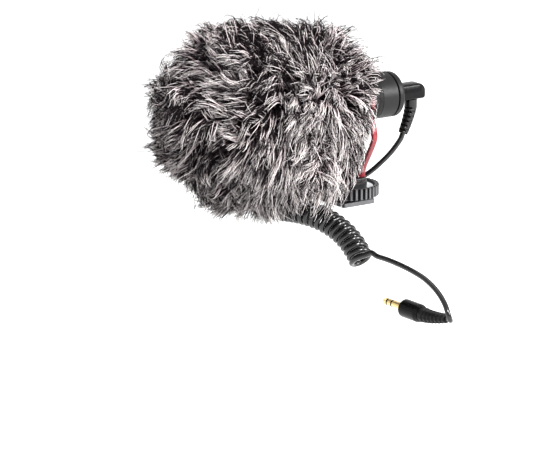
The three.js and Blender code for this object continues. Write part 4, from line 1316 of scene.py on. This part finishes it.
# an arm's line: shares of the half width and of the rise from foot to clip
ARM_SHARES = (
    (0.27, -0.04), (0.38, 0.13), (0.65, 0.345), (0.88, 0.53),
    (1, 0.67), (0.96, 0.8), (0.83, 0.93),
)
LYRE_HALF = 13.6
FOOT_TOP = 13.3
FOOT_MIDDLE = 12.5
FOOT_LINE = (-4, -3.7, -2.6, 0, 2.6, 3.7, 4)
CLIP_RADIUS = 11.65
CLIP_MEETS = radians(34)
CLIP_HALF_GAP = radians(35)
CLIP_POINTS = 64
ARM_STEPS = 8
# width, thickness and corner of each kind of bar
ARM_BAR = (2.75, 1.7, 0.4)
CLIP_BAR = (2.5, 1.5, 0.4)
FOOT_BAR = (4, 1.6, 0.45)


def flat_bar(name, line, bar):
    """A bar along a line in an XZ plane, its width along Y."""
    _, across, other = frames(line)
    outline = mm(rectangle(*bar, steps=3))
    sections = []
    for a, b in zip(across, other):
        turn = atan2(b[1], a[1])
        c, s = cos(turn), sin(turn)
        sections.append(outline @ np.array([[c, s], [-s, c]]))
    return swept(name, mm(line), lambda i: sections[i])


def make_lyre(node, y, looks):
    """One springy lyre: a foot, two bowed arms and the clip round the tube."""
    axis, place = MIC_AXIS / MM, y / MM
    meet_x = CLIP_RADIUS * cos(CLIP_MEETS)
    meet_z = axis - CLIP_RADIUS * sin(CLIP_MEETS)
    rise = meet_z - FOOT_TOP
    bars = []
    for side in (1, -1):
        points = [(side * LYRE_HALF * x, place, FOOT_TOP + rise * z) for x, z in ARM_SHARES]
        points.append((side * meet_x, place, meet_z))
        bars.append(flat_bar("arm", catmull_rom(points, ARM_STEPS), ARM_BAR))
    angles = np.linspace(pi / 2 + CLIP_HALF_GAP, pi * 2.5 - CLIP_HALF_GAP, CLIP_POINTS)
    ring = [(CLIP_RADIUS * cos(a), place, axis + CLIP_RADIUS * sin(a)) for a in angles]
    bars.append(flat_bar("clip", np.array(ring), CLIP_BAR))
    foot = [(x, place, FOOT_MIDDLE) for x in FOOT_LINE]
    bars.append(flat_bar("foot", np.array(foot, float), FOOT_BAR))
    lyre = dress(joined(f"{node}_spring", bars), looks, "lyre_red")
    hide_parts(node)
    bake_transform(lyre)


# ---- the whole part


def main():
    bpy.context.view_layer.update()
    make_camera()
    looks = make_materials()
    dress_cad(looks)
    make_cord(looks)
    make_light()
    for make in (make_tube, make_cap, make_housing, make_relief):
        make(looks)
    for make in (make_wheel, make_reflection_ring, make_base):
        make(looks)
    make_undercoat(looks)
    make_hair(looks)
    for node, y in LYRES.items():
        make_lyre(node, y, looks)
    bpy.context.scene.view_settings.view_transform = "Standard"


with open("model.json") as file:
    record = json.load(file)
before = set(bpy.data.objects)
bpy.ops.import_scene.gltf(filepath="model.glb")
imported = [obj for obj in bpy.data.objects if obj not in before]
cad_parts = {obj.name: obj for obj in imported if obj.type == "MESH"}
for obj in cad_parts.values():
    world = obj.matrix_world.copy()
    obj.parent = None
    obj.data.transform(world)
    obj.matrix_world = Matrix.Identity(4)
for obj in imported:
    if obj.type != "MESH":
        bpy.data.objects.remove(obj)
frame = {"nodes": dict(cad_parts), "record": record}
main()
